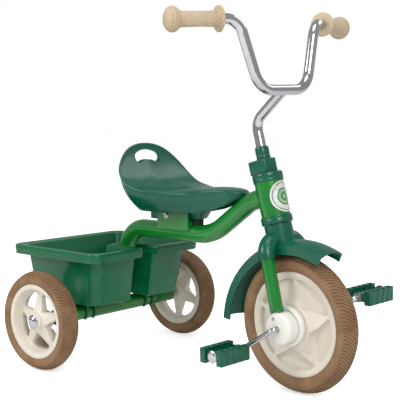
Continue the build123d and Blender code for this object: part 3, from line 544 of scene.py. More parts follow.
grip_cream = surface(
    "grip_cream", tone(0.46, 0.355, 0.235), tone(0.54, 0.43, 0.30),
    cloud=24, grain=1600, bump=0.25, smooth=0.52, dull=0.70,
    scratch=tone(0.28, 0.20, 0.12), scratched=0.3, Specular_IOR_Level=0.3)
bright_chrome = surface(
    "bright_chrome", tone(0.50, 0.51, 0.53), tone(0.62, 0.63, 0.65),
    cloud=8, grain=300, bump=0.004, smooth=0.04, dull=0.12,
    scratch=tone(0.4, 0.4, 0.4), scratched=0.4, Metallic=1.0)
zinc_steel = surface(
    "zinc_steel", tone(0.42, 0.42, 0.41), tone(0.56, 0.56, 0.54),
    cloud=60, grain=900, bump=0.15, smooth=0.26, dull=0.44,
    scratch=tone(0.26, 0.24, 0.20), scratched=0.5, Metallic=1.0)
black_rubber = surface(
    "black_rubber", tone(0.006, 0.006, 0.006), tone(0.018, 0.017, 0.016),
    cloud=30, grain=1100, bump=0.3, smooth=0.55, dull=0.75, Specular_IOR_Level=0.25)
badge_print = surface(
    "badge_print", tone(0.62, 0.61, 0.58), tone(0.70, 0.69, 0.66),
    cloud=30, grain=700, bump=0.04, smooth=0.18, dull=0.30, Coat_Weight=0.4, Coat_Roughness=0.1)
print("finishes", len(bpy.data.materials))

# %% rings printed on the badge
# A point's distance from the badge's middle is measured along the curved head, so the rings stay
# round where the badge wraps. Each ring is a band of that distance.
HEAD_TUBE_ENDS = (201.0, 265.5)    # millimetres above the front axle, along the steering axis
BADGE_UP = sum(HEAD_TUBE_ENDS) / 2
PRINT_BEND = 27.5 * MM             # the radius that the badge's face is bent to
SOFT_EDGE = 0.3
BADGE_MIDDLE = HEAD_FIXED @ mm(0, 0, BADGE_UP)
tree = badge_print.node_tree
shader = tree.nodes["Principled BSDF"]
mapping = tree.nodes.new("ShaderNodeMapping")
mapping.vector_type = "TEXTURE"
mapping.inputs["Location"].default_value = BADGE_MIDDLE
mapping.inputs["Rotation"].default_value = HEAD_FIXED.to_euler()
tree.links.new(tree.nodes.new("ShaderNodeTexCoord").outputs["Object"], mapping.inputs["Vector"])
parts = tree.nodes.new("ShaderNodeSeparateXYZ")
tree.links.new(mapping.outputs[0], parts.inputs[0])
up = parts.outputs["Z"]
turned_by = arithmetic(tree, "ARCTAN2", parts.outputs["Y"], parts.outputs["X"])
around = arithmetic(tree, "MULTIPLY", turned_by, PRINT_BEND)
squares = [arithmetic(tree, "MULTIPLY", way, way) for way in (around, up)]
distance = arithmetic(tree, "SQRT", arithmetic(tree, "ADD", *squares))


def band(inner, outer):
    """A mask that is one between two distances from the badge's middle, in millimetres."""
    rise = spread(tree, distance, (inner - SOFT_EDGE) * MM, (inner + SOFT_EDGE) * MM)
    fall = spread(tree, distance, (outer - SOFT_EDGE) * MM, (outer + SOFT_EDGE) * MM, 1.0, 0.0)
    return arithmetic(tree, "MULTIPLY", rise, fall)


DARK_INK, GREEN_INK = tone(0.030, 0.075, 0.050), tone(0.045, 0.230, 0.080)
PALE_INK = tone(0.300, 0.480, 0.270)
printed = shader.inputs["Base Color"].links[0].from_socket
for inner, outer, color in ((24.6, 26.0, DARK_INK), (13.2, 16.4, GREEN_INK),
                            (-1.0, 13.2, PALE_INK), (4.0, 9.0, GREEN_INK)):
    printed = blend_colors(tree, band(inner, outer), printed, color)
tree.links.new(printed, shader.inputs["Base Color"])
print("badge rings printed")

# %% [markdown]
# ## Tubes, rods, the fork and the fender keep their CAD shapes
#
# A bent tube is already exact in the frame, and modelling it again would only copy it. The fork
# and the plastic fender over the wheel are kept as well. These nodes get their finish through
# their material slots, and are otherwise left alone.

# %% dress the kept parts
KEPT = {
    frame_paint: ("axle_beam", "main_tube", "head_tube", "seat_bracket", "fork"),
    plastic_green: ("fender",),
    bright_chrome: ("stem", "handlebar", "crank_axle"),
    zinc_steel: ("rear_axle", "pedal_washers"),
}
for material, names in KEPT.items():
    for name in names:
        for material_slot in nodes[name].material_slots:
            material_slot.material = material
    print("a finish on", ", ".join(names))

# %% [markdown]
# ## Tyres with a herringbone tread
#
# The tyres are tan rubber with a herringbone tread. A tread could be faked with bump, but it is
# the tyre's outline that one sees, so it is cut in the mesh. The trick is to twist each ring of
# the tyre a little more than the last one: its columns of faces then already run as a V across
# the tread. Every second column is inset and pushed down, and becomes a groove.

# %% model a tyre
# Half a tyre section: (share of the way from the rim seat to the full width, share of its height).
TYRE_HALF = ((0.0, 0.0), (0.55, 0.10), (0.88, 0.24), (1.0, 0.40), (0.985, 0.50), (0.96, 0.545),
             (0.985, 0.56), (0.985, 0.60), (0.93, 0.63), (0.84, 0.70), (0.70, 0.79), (0.52, 0.87),
             (0.34, 0.935), (0.16, 0.98), (0.0, 1.0))
TREAD_FROM = 0.62      # share of the tyre's height where the tread starts
GROOVE_SHARE = 0.42    # of each tread step
GROOVE_DEPTH = 1.6
GROOVE_BEVEL = 0.35
BULGE_AT = 0.40        # share of the height where the wall reaches the full width
LEAN_UNTIL = 0.8       # share of the tread's half width over which the grooves lean


def tyre(name, outside, rim, width, rim_half, steps, slant):
    """A tyre about Z. Its columns lean back from the middle by slant steps at the shoulder."""
    height = outside - rim
    half = []
    for out, up in TYRE_HALF:
        if up <= BULGE_AT:
            across = rim_half + out * (width / 2 - rim_half)
        else:
            across = out * width / 2
        half.append((rim + up * height, across, up))
    section = [(r, -z, up) for r, z, up in half] + [(r, z, up) for r, z, up in reversed(half[:-1])]
    step = 2 * math.pi / steps
    tread_half = max(z for r, z, up in half if up >= TREAD_FROM)

    def lean(across):
        """How far round a column is twisted, at a distance from the middle plane."""
        return slant * step * min(1.0, abs(across) / (LEAN_UNTIL * tread_half))

    def loop(radius, across):
        """One ring of the tyre, with two points for each tread step."""
        points = []
        for column in range(steps):
            for start in (0.0, 1 - GROOVE_SHARE):
                turn = (column + start) * step + lean(across)
                points.append(mm(radius * math.cos(turn), radius * math.sin(turn), across))
        return points

    loops = [loop(r, z) for r, z, up in section]
    loops.append(list(loops[0]))
    piece = lofted(name, loops)
    open_mesh(piece)

    def in_groove(at, _):
        """True for the tread faces of every groove column."""
        if at.xy.length < (rim + TREAD_FROM * height) * MM:
            return False
        turn = (math.atan2(at.y, at.x) - lean(at.z / MM)) / step
        return turn % 1.0 > 1 - GROOVE_SHARE

    choose(piece, "FACE", in_groove)
    bpy.ops.mesh.inset(thickness=GROOVE_BEVEL * MM, depth=-GROOVE_DEPTH * MM, use_even_offset=True)
    close_mesh()
    return piece


front_tyre = tyre("front_tyre_rubber", outside=130.0, rim=98.0, width=45.0, rim_half=15.5,
                  steps=116, slant=2.2)
place(front_tyre, FRONT @ facing(-1))
dressed(front_tyre, tyre_rubber, "tyre_rubber", "front_wheel", "front_tyre", smooth=28)

# %% the two rear tyres
REAR_PLACES = {}
for word in ("left", "right"):
    low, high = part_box(f"rear_tyre_{word}")
    REAR_PLACES[word] = Matrix.Translation((low + high) / 2)


def rear_pair(piece, name, material, slot, node, smooth):
    """Put a piece on the right rear wheel, and its copy on the left one."""
    twin = copied(piece, f"{name}_left", REAR_PLACES["left"] @ facing(1))
    place(piece, REAR_PLACES["right"] @ facing(-1))
    for word, part in (("right", piece), ("left", twin)):
        dressed(part, material, slot, f"rear_wheel_{word}", f"{node}_{word}", smooth=smooth)


rear_tyre = tyre("rear_tyre_rubber_right", outside=100.0, rim=75.0, width=41.0, rim_half=17.0,
                 steps=92, slant=2.1)
rear_pair(rear_tyre, "rear_tyre_rubber", tyre_rubber, "tyre_rubber", "rear_tyre", smooth=28)

# %% [markdown]
# ## Moulded wheels
#
# Each wheel is one moulding: a rim, a hub and five arms that pinch in at the waist. The blank is
# turned on the lathe, and the gaps between the arms are then cut from it, with one cutter copied
# round the axle. The cutter carries the draft of its walls and the small radius of their edges
# in its own rings, so the cut needs no bevel afterwards.

# %% model the pockets between the arms
ARMS = 5
FIRST_ARM = math.radians(18)
POCKET_POINTS = 12
CORNER_SWEEP = math.radians(115)     # how far round an outer corner goes
TIP_SWEEP = math.radians(60)         # how far round the tip goes on each side


def pocket_outline(outer, inner, spread_angle, corner, tip):
    """A rounded three-cornered pocket that points at the axle, along +X, with bulging sides."""
    half = math.radians(spread_angle)
    points = []
    top = outer - corner
    reach = half - corner / outer
    for step in range(POCKET_POINTS + 1):                # along the rim
        turn = -reach + 2 * reach * step / POCKET_POINTS
        points.append((outer * math.cos(turn), outer * math.sin(turn)))
    outer_corner = []
    for step in range(1, POCKET_POINTS):
        bend = reach + CORNER_SWEEP * step / POCKET_POINTS
        outer_corner.append((top * math.cos(reach) + corner * math.cos(bend),
                             top * math.sin(reach) + corner * math.sin(bend)))
    points += outer_corner
    for step in range(-POCKET_POINTS // 2, POCKET_POINTS // 2 + 1):      # round the tip
        bend = math.pi + TIP_SWEEP * step / (POCKET_POINTS / 2)
        points.append((inner + tip + tip * math.cos(bend), tip * math.sin(bend)))
    points += [(x, -y) for x, y in reversed(outer_corner)]
    return points


def grown(points, by):
    """An outline pushed outwards by a distance, each point along its own normal."""
    moved = []
    count = len(points)
    for index, (x, y) in enumerate(points):
        before, after = points[index - 1], points[(index + 1) % count]
        along = Vector((after[0] - before[0], after[1] - before[1])).normalized()
        moved.append((x + along.y * by, y - along.x * by))
    return moved


def height_at(profile, x):
    """Read a height from a run of (place, height), with straight lines between them."""
    if x <= profile[0][0]:
        return profile[0][1]
    for (x0, z0), (x1, z1) in zip(profile, profile[1:]):
        if x <= x1:
            return z0 + (z1 - z0) * (x - x0) / (x1 - x0)
    return profile[-1][1]


CUTTER_TOP = 40.0      # clears every blank


def pocket_cutter(outline, floor_rings, face, face_rings):
    """The cutter's rings, each one the outline grown by a step. Floor rings lie at a height,
    and face rings at a height above the wheel's face."""
    loops = []
    for by, height in floor_rings:
        loops.append([mm(x, y, height) for x, y in grown(outline, by)])
    for by, above in face_rings:
        loops.append([mm(x, y, height_at(face, math.hypot(x, y)) + above)
                      for x, y in grown(outline, by)])
    widest = face_rings[-1][0]
    loops.append([mm(x, y, CUTTER_TOP) for x, y in grown(outline, widest)])
    return lofted("pocket_cutter", loops, fill_first=True, fill_last=True)


def cut_pockets(blank, cutter):
    """Cut the pocket between each pair of arms."""
    for index in range(ARMS):
        turn = FIRST_ARM + 2 * math.pi * (index + 0.5) / ARMS
        cut_away(blank, copied(cutter, "cut", Matrix.Rotation(turn, 4, "Z")))
    bpy.data.objects.remove(cutter)


# %% the front wheel
WHEEL_STEPS = 120
FRONT_FACE = ((30.0, 23.4), (40.0, 23.4), (42.5, 22.6), (46.0, 19.0), (56.0, 15.0), (70.0, 13.0),
              (82.0, 12.4), (86.5, 12.6), (89.0, 14.2), (91.0, 15.3), (96.0, 15.6), (97.6, 15.0))
PANEL = 4.0            # half the thickness of the panel between the arms
FRONT_FLOOR_RINGS = ((-3.6, PANEL), (-2.2, PANEL + 0.5), (-1.4, PANEL + 1.6))
FRONT_FACE_RINGS = ((-0.5, -1.4), (-0.1, -0.5), (0.7, 0.1), (2.4, 1.0))
front_profile = [(5.0, 23.4), *FRONT_FACE, (98.0, 13.8)]
front_profile += [(r, -z) for r, z in reversed(front_profile)]
front_wheel = turned("front_wheel_moulding", [*front_profile, front_profile[0]],
                     steps=WHEEL_STEPS, closed=True)
front_pocket = pocket_outline(outer=85.0, inner=41.0, spread_angle=33.6, corner=6.0, tip=15.0)
near_cutter = pocket_cutter(front_pocket, FRONT_FLOOR_RINGS, FRONT_FACE, FRONT_FACE_RINGS)
far_cutter = copied(near_cutter, "far_cutter", Matrix.Scale(-1, 4, (0, 0, 1)))
cut_pockets(front_wheel, near_cutter)
cut_pockets(front_wheel, far_cutter)
place(front_wheel, FRONT @ facing(-1))
dressed(front_wheel, wheel_cream, "wheel_cream", "front_wheel", "front_wheel", smooth=32)

# %% the rear wheels
REAR_FACE = ((13.0, 18.8), (16.5, 18.4), (18.0, 17.0), (18.6, 12.5), (24.0, 9.0), (40.0, 4.5),
             (54.0, 1.0), (58.0, 0.6), (60.5, 2.0), (63.5, 12.0), (65.5, 15.6), (68.0, 16.9),
             (73.0, 17.2), (74.4, 16.6))
REAR_BACK = ((75.0, 15.0), (75.0, -15.0), (74.0, -16.8), (64.0, -16.8), (62.0, -15.0), (60.0, -7.0),
             (40.0, -7.0), (20.0, -9.0), (18.0, -12.0), (18.0, -19.0), (16.5, -20.0), (5.2, -20.0))
rear_profile = [(5.2, 18.8), *REAR_FACE, *REAR_BACK]
REAR_FLOOR_RINGS = ((2.0, -30.0), (2.0, -8.0), (0.4, -7.0), (-0.4, -6.0))
REAR_FACE_RINGS = ((-0.2, -1.6), (0.1, -0.5), (0.8, 0.1), (2.2, 0.9))
rear_wheel = turned("rear_wheel_moulding_right", [*rear_profile, rear_profile[0]],
                    steps=WHEEL_STEPS, closed=True)
rear_pocket = pocket_outline(outer=58.5, inner=24.0, spread_angle=27.0, corner=7.0, tip=5.0)
rear_cutter = pocket_cutter(rear_pocket, REAR_FLOOR_RINGS, REAR_FACE, REAR_FACE_RINGS)
cut_pockets(rear_wheel, rear_cutter)
rear_pair(rear_wheel, "rear_wheel_moulding", wheel_cream, "wheel_cream", "rear_wheel", smooth=32)

# %% [markdown]
# ## The tray between the rear wheels
#
# The tray is one thin-walled moulding: a rolled rim with a stepped skirt, tapered walls whose
# corners are flattened, and a notch that lets the frame tube through. Its outline is the same run
# of points at every height, so the whole tray can be lofted from the skirt, over the rim and down
# to the floor, once inside and once outside.

# %% model the tray
TRAY_WALL = 3.0
CORNER_POINTS = 8
NOTCH_POINTS = 4
tray_low, tray_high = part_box("tray")
RIM_TOP = tray_high.z / MM
FLOOR = 124.0
TRAY_CORNER = 24.0
NOTCH_CORNER = 5.0
# A box is (rear, front, half its width): the rim, the walls' top and the walls' foot.
RIM_BOX = (tray_low.x / MM, tray_high.x / MM, tray_high.y / MM)
TOP_BOX = (RIM_BOX[0] + 16, RIM_BOX[1] - 16, RIM_BOX[2] - 16.4)
LOW_BOX = (RIM_BOX[0] + 33, RIM_BOX[1] - 33, RIM_BOX[2] - 26.4)
RIM_NOTCH = (23.0, 12.0)           # half width, and how far back it reaches
WALL_NOTCH_HALF = 27.0
WALL_NOTCH_FOOT, WALL_NOTCH_RISE = -24.0, 31.0
WALL_FLAT = 0.8
FLAT_DRAW = 0.3 / math.pi          # how far a flat corner's points are drawn along it
FLAT_CUT = 0.16                    # how far they are pulled in, as a share of the radius


def corner(middle, radius, start, count, flat=0.0):
    """A quarter turn of an outline. Flat draws it towards a plain cut across the corner."""
    points = []
    for step in range(count + 1):
        share = step / count
        drawn = share - flat * FLAT_DRAW * math.sin(2 * math.pi * share)
        turn = math.radians(start + 90 * drawn)
        deep = 1 - flat * FLAT_CUT * math.sin(math.pi * share) ** 2
        points.append((middle[0] + radius * deep * math.cos(turn),
                       middle[1] + radius * deep * math.sin(turn)))
    return points


def tray_outline(box, notch_half, notch_back, inset=0.0, flat=0.0):
    """The tray seen from above: round corners, and a notch in the middle of the front edge."""
    rear, front, half = box[0] + inset, box[1] - inset, box[2] - inset
    notch, back = notch_half + inset, notch_back - inset
    radius = max(3.0, TRAY_CORNER - inset)
    small = NOTCH_CORNER
    points = corner((rear + radius, -half + radius), radius, 180, CORNER_POINTS, flat)
    points += corner((front - radius, -half + radius), radius, 270, CORNER_POINTS, flat)
    points += corner((front - small, -notch - small), small, 0, NOTCH_POINTS)
    points += reversed(corner((back + small, -notch + small), small, 180, NOTCH_POINTS))
    points += reversed(corner((back + small, notch - small), small, 90, NOTCH_POINTS))
    points += corner((front - small, notch + small), small, 270, NOTCH_POINTS)
    points += corner((front - radius, half - radius), radius, 0, CORNER_POINTS, flat)
    points += corner((rear + radius, half - radius), radius, 90, CORNER_POINTS, flat)
    return points


def rim_loop(inset, height):
    """A loop of the rim, whose notch hangs a little way into the gap."""
    return [mm(x, y, height) for x, y in tray_outline(RIM_BOX, *RIM_NOTCH, inset)]


def wall_loop(share, inset, height=None):
    """A loop of the tapered wall, share of the way up from the floor."""
    box = [low + (top - low) * share for low, top in zip(LOW_BOX, TOP_BOX)]
    if height is None:
        height = FLOOR + (RIM_TOP - FLOOR) * share
    back = WALL_NOTCH_FOOT + WALL_NOTCH_RISE * share
    outline = tray_outline(box, WALL_NOTCH_HALF, back, inset, WALL_FLAT)
    return [mm(x, y, height) for x, y in outline]


skirt_low = RIM_TOP - 19.0
under_rim = RIM_TOP - TRAY_WALL
tray_loops = [
    wall_loop(0.0, 30.0, FLOOR),
    wall_loop(0.0, 3.0, FLOOR),
    wall_loop(0.0, 0.8, FLOOR + 0.2),
    wall_loop(0.0, -0.9, FLOOR + 1.2),
    wall_loop(0.0, -1.1, FLOOR + 2.4),
    wall_loop(0.03, -0.2, FLOOR + 3.8),
    wall_loop(0.06, 0.0),
    wall_loop(0.5, 0.0),
    wall_loop(0.96, 0.0, under_rim - 1.0),
    wall_loop(0.97, -1.0, under_rim),
    rim_loop(4.0, under_rim),
    rim_loop(3.1, under_rim - 0.8),
    rim_loop(3.0, skirt_low + 0.8),
    rim_loop(2.4, skirt_low),
    rim_loop(0.9, skirt_low),
    rim_loop(0.3, skirt_low + 0.7),
    rim_loop(0.3, skirt_low + 8.2),
    rim_loop(-0.5, skirt_low + 9.0),
    rim_loop(-0.6, skirt_low + 11.0),
    rim_loop(-0.4, RIM_TOP - 2.4),
    rim_loop(0.4, RIM_TOP - 0.8),
    rim_loop(1.8, RIM_TOP),
    rim_loop(3.4, RIM_TOP - 0.2),
    rim_loop(5.0, RIM_TOP - 1.0),
    wall_loop(0.99, 0.6, RIM_TOP - 1.3),
    wall_loop(0.98, 2.2, RIM_TOP - 1.8),
    wall_loop(0.96, 3.2, RIM_TOP - 4.0),
    wall_loop(0.5, 3.0),
    wall_loop(0.06, 3.2),
    wall_loop(0.03, 4.4, FLOOR + 4.4),
    wall_loop(0.0, 7.0, FLOOR + 3.2),
    wall_loop(0.0, 30.0, FLOOR + 3.0),
]
tray = lofted("tray_moulding", tray_loops, fill_first=True, fill_last=True)

# %% the clips that hold the tray to the beam
BEAM_UP = 100.0
BEAM_RADIUS = 16.0
CLIP_ARC_POINTS = 14
CLIP_OUT = BEAM_RADIUS + 3.4
CLIP_IN = BEAM_RADIUS + 0.2
CLIP_MOUTH = 236           # degrees round the beam, where the clip's open end starts
CLIP_PLACES = (-99.0, -77.0, 77.0, 99.0)
CLIP_HALF = 2.5


def around_beam(radius, start, end):
    """Points of an arc round the beam, from one angle to another, in degrees."""
    points = []
    for step in range(CLIP_ARC_POINTS + 1):
        turn = math.radians(start + (end - start) * step / CLIP_ARC_POINTS)
        points.append((radius * math.cos(turn), BEAM_UP + radius * math.sin(turn)))
    return points


clip_outline = [(-CLIP_OUT - 2.0, FLOOR + 0.5),
                *around_beam(CLIP_OUT, 180, CLIP_MOUTH),
                *around_beam(CLIP_IN, CLIP_MOUTH, 180 - CLIP_MOUTH),
                *around_beam(CLIP_OUT, 180 - CLIP_MOUTH, 0),
                (CLIP_OUT + 2.0, FLOOR + 0.5)]
clips = []
for middle in CLIP_PLACES:
    clip = outline_solid("clip", clip_outline, -CLIP_HALF, CLIP_HALF)
    rounded(clip, 0.7)
    place(clip, Matrix.Translation(mm(0, middle, 0)) @ Matrix.Rotation(math.radians(90), 4, "X"))
    clips.append(clip)
tray = joined("tray_moulding", [tray, *clips])
dressed(tray, tray_green, "plastic_green", "frame", "tray", smooth=38)

# %% [markdown]
# ## The saddle
#
# The saddle is a scooped pan with a high fan-shaped back and a short nose. One closed rim runs
# round it, and everything else hangs from that rim: the pan dips inwards from it to a line along
# the middle, and the body rolls over a thin lip and tucks under to a flat underside. Each rim
# point therefore gets one bent path inwards and one downwards, and the loops are read from those
# paths. Subdivision makes the moulding smooth before the hand hole is cut.

# %% the saddle's rim
RIM_STEPS = 72
# The rim from the back's top round to the nose: (forward, sideways, up), in millimetres.
SEAT_RIM = ((86, 0, 452.5), (88, 24, 451), (92, 50, 443.5), (99, 73, 428), (109, 91, 408),
            (122, 100, 390), (140, 102, 375), (160, 100, 368), (182, 96, 364), (202, 88, 361.5),
            (221, 75, 360), (238, 59, 359.5), (252, 47, 360), (264, 40, 361), (278, 35, 364.5),
            (294, 32, 367.5), (312, 30, 368.5), (330, 27, 368), (345, 19, 366.5), (353, 10, 365.5),
            (355, 0, 365))
# The height of the pan's middle line, from the hollow one sits in to the nose: (forward, up).
SEAT_SPINE = ((152, 362.5), (175, 359.5), (205, 360.5), (235, 365), (265, 369.5), (300, 371.5),
              (334, 370))
# The underside's height: flat, and then rising under the nose.
SEAT_UNDERSIDE = ((132, 318), (250, 318), (288, 326), (326, 340), (346, 351))
RIM_REACH = (86, 355)      # from the back of the rim to the nose
SPINE_REACH = (152, 334)
FOOT_REACH = (106, 343)


def along(points, share):
    """A place on a smooth line through the points, share of the way along them."""
    spot = share * (len(points) - 1)
    index = min(int(spot), len(points) - 2)
    t = spot - index
    near = [max(0, min(len(points) - 1, index + step)) for step in (-1, 0, 1, 2)]
    before, a, b, after = (Vector(points[i]) for i in near)
    if index == 0:
        before = Vector((b.x, -b.y, b.z))
    if index == len(points) - 2:
        after = Vector((a.x, -a.y, a.z))
    return 0.5 * ((2 * a) + (b - before) * t + (2 * before - 5 * a + 4 * b - after) * t * t
                  + (3 * a - before - 3 * b + after) * t ** 3)


HALF_STEPS = RIM_STEPS // 2
rim_half = [along(SEAT_RIM, step / HALF_STEPS) for step in range(HALF_STEPS + 1)]
seat_rim = rim_half + [Vector((p.x, -p.y, p.z)) for p in reversed(rim_half[1:-1])]
rim_out = []           # at each rim point, the level direction away from the saddle
for index in range(RIM_STEPS):
    ahead, behind = seat_rim[(index + 1) % RIM_STEPS], seat_rim[index - 1]
    run = (ahead - behind).normalized()
    rim_out.append(Vector((-run.y, run.x, 0)).normalized() * -1)
if rim_out[RIM_STEPS // 4].y < 0:
    rim_out = [-out for out in rim_out]
print("rim points", len(seat_rim))

# %% model the saddle
SEAT_WALL = 4.0
SEAM_WITHIN = 0.4 * MM     # the two halves of the pan meet along the middle line


def carried(point, reach):
    """A rim point's share of the way to the nose, and the same share along another reach."""
    share = (point.x - RIM_REACH[0]) / (RIM_REACH[1] - RIM_REACH[0])
    return share, reach[0] + share * (reach[1] - reach[0])


def spine(point):
    """The place on the saddle's middle line that a rim point's path leads to."""
    _, x = carried(point, SPINE_REACH)
    return Vector((x, 0, height_at(SEAT_SPINE, x)))


def foot(point):
    """The place on the underside's edge below a rim point. It is narrower at the back."""
    share, x = carried(point, FOOT_REACH)
    narrow = 0.57 + max(0.0, share - 0.55) * 0.62
    return Vector((x, point.y * narrow, height_at(SEAT_UNDERSIDE, x)))


def bent(a, b, c, t):
    """A place on a bend from a to c that b pulls towards itself."""
    return a * (1 - t) ** 2 + b * 2 * t * (1 - t) + c * t * t


def pan_point(point, t, drop=0.0):
    """A place on the pan, t of the way from the rim to the middle line."""
    end = spine(point)
    inward = point.lerp(end, 0.32)
    pull = Vector((inward.x, inward.y, end.z + (point.z - end.z) * 0.14))
    return bent(point, pull, end, t) - Vector((0, 0, drop))


def body_point(point, out, t, inset=0.0):
    """A place on the body, t of the way from the lip down to the underside."""
    start = point + out * (0.5 - inset) - Vector((0, 0, 8.0))
    end = foot(point) - out * inset
    pull = Vector((point.x * 0.8 + end.x * 0.2, point.y * 0.97,
                   start.z * 0.42 + end.z * 0.58)) - out * inset
    return bent(start, pull, end, t)


PAN_STEPS = (1.0, 0.86, 0.7, 0.54, 0.4, 0.28, 0.18, 0.10, 0.045)
# The lip's rings: (outwards, down) from the rim.
LIP_STEPS = ((-1.6, 0.2), (0.4, 0.3), (2.0, 1.4), (2.6, 3.2), (2.4, 5.0), (1.2, 6.4), (0.5, 7.6))
BODY_STEPS = (0.08, 0.2, 0.35, 0.5, 0.65, 0.8, 0.92, 1.0)
INNER_BODY_STEPS = (1.0, 0.85, 0.6, 0.35, 0.15)
INNER_PAN_STEPS = (0.16, 0.3, 0.5, 0.75, 1.0)
rim_pairs = list(zip(seat_rim, rim_out))
seat_loops = [[pan_point(p, t) for p in seat_rim] for t in PAN_STEPS]
for out, down in LIP_STEPS:
    seat_loops.append([p + o * out - Vector((0, 0, down)) for p, o in rim_pairs])
for t in BODY_STEPS:
    seat_loops.append([body_point(p, o, t) for p, o in rim_pairs])
for t in INNER_BODY_STEPS:
    lift = Vector((0, 0, 0.0 if t == 1.0 else 1.0))
    seat_loops.append([body_point(p, o, t, SEAT_WALL) + lift for p, o in rim_pairs])
for t in INNER_PAN_STEPS:
    seat_loops.append([pan_point(p, t, SEAT_WALL) for p in seat_rim])
saddle = lofted("saddle_shell", [[mm(*p) for p in loop] for loop in seat_loops])
open_mesh(saddle)
bpy.ops.mesh.remove_doubles(threshold=SEAM_WITHIN)
bpy.ops.mesh.normals_make_consistent(inside=False)
close_mesh()
finish_with(saddle, "SUBSURF", levels=1, render_levels=1)

# %% the hand hole in the saddle's back
HOLE_RADIUS = 62.0       # of the hole's middle line, which follows the top of the back
HOLE_HALF_TURN = math.radians(25.5)
HOLE_HALF_HEIGHT = 10.2
HOLE_MIDDLE = 428.5
LONG_STEPS, END_STEPS = 12, 8
UP = math.radians(90)


def hole_side(reach, sense):
    """One long side of the hole, an arc about the same middle as the hole's middle line."""
    turns = [UP + sense * HOLE_HALF_TURN * (1 - 2 * step / LONG_STEPS)
             for step in range(LONG_STEPS + 1)]
    return [(reach * math.cos(turn), reach * math.sin(turn)) for turn in turns]


def hole_end(turn, bend_from):
    """One round end of the hole, a half turn about an end of the middle line."""
    bends = [bend_from - math.pi * step / END_STEPS for step in range(1, END_STEPS)]
    return [(HOLE_RADIUS * math.cos(turn) + HOLE_HALF_HEIGHT * math.cos(bend),
             HOLE_RADIUS * math.sin(turn) + HOLE_HALF_HEIGHT * math.sin(bend)) for bend in bends]


hole_outline = [
    *hole_side(HOLE_RADIUS + HOLE_HALF_HEIGHT, 1),
    *hole_end(UP - HOLE_HALF_TURN, UP - HOLE_HALF_TURN),
    *hole_side(HOLE_RADIUS - HOLE_HALF_HEIGHT, -1),
    *hole_end(UP + HOLE_HALF_TURN, UP + HOLE_HALF_TURN + math.pi),
]
hole = outline_solid("hand_hole", hole_outline, 50.0, 150.0)
# The outline's X runs across the tricycle, its Y runs up and its depth runs forward.
upright = Matrix(((0, 0, 1, 0), (1, 0, 0, 0),
                  (0, 1, 0, (HOLE_MIDDLE - HOLE_RADIUS) * MM), (0, 0, 0, 1)))
place(hole, upright)
cut_away(saddle, hole)

# %% the saddle's feet
rear_lug = block("rear_lug", (124, -18.5, 299.5), (224, 18.5, 322))
rounded(rear_lug, 1.6)
front_foot = block("front_foot", (228.5, -12.8, 305), (249, 12.8, 324))
open_mesh(front_foot)
choose(front_foot, "FACE", lambda at, normal: normal.z > 0.9)
bpy.ops.transform.resize(value=(1.9, 1.25, 1), center_override=mm(236, 0, 324))    # flares up
close_mesh()
rounded(front_foot, 1.4)
RIB_HALF = 1.6
ribs = []
for y in (-8.0, 8.0):
    rib = block("rib", (246, y - RIB_HALF, 318), (300, y + RIB_HALF, 352))
    open_mesh(rib)
    choose(rib, "VERT", lambda at, _: at.x > 0.29 and at.z < 0.33)
    bpy.ops.transform.translate(value=mm(0, 0, 17))
    close_mesh()
    ribs.append(rounded(rib, 0.6))
saddle = joined("saddle_shell", [saddle, rear_lug, front_foot, *ribs])
dressed(saddle, plastic_green, "plastic_green", "frame", "seat", smooth=40)

# %% [markdown]
# ## Rings, caps and covers from the lathe
#
# Most of the small parts are round. Each is a short profile turned about its own axis, with the
# step, lip or dome that its mould gives it, and then a small radius on its edges.

# %% rings at the head
def head_part(name, profile, place_at, body, node):
    """A green ring on the steering axis, turned from a closed profile."""
    piece = turned(name, [*profile, profile[0]], closed=True)
    rounded(piece, 0.7)
    place(piece, place_at)
    return dressed(piece, plastic_green, "plastic_green", body, node)


head_part("lower_head_band",
          [(13.1, 186.2), (28.0, 186.2), (29.2, 187.4), (29.5, 189.0), (29.5, 196.0), (29.1, 196.6),
           (29.5, 197.2), (29.5, 200.0), (28.6, 201.0), (13.1, 201.0)],
          HEAD_FIXED, "frame", "lower_head_ring")
head_part("upper_head_band",
          [(13.1, 265.6), (27.6, 265.6), (28.5, 266.6), (28.5, 270.0), (28.1, 270.6), (28.5, 271.2),
           (28.5, 280.0), (27.2, 282.2), (22.0, 282.3), (13.1, 282.3)],
          HEAD_FIXED, "frame", "upper_head_ring")
head_part("stem_clamp_collar",
          [(9.6, 309.2), (13.0, 309.2), (13.0, 315.0), (12.3, 315.6), (12.3, 316.6), (13.0, 317.2),
           (12.9, 329.0), (12.0, 332.4), (10.8, 333.0), (9.6, 333.0)],
          HEAD, "steering", "stem_collar")

# %% the square cap on the steering head
cap = block("head_cap_moulding", (-28.0, -17.0, 283.0), (15.0, 17.0, 308.9))
open_mesh(cap)
choose(cap, "EDGE", lambda at, run: abs(run.z) > 0.9)
bpy.ops.mesh.bevel(offset=4.5 * MM, segments=5)
close_mesh()
rounded(cap, 1.5, segments=3)
place(cap, HEAD)
dressed(cap, plastic_green, "plastic_green", "steering", "head_cap")

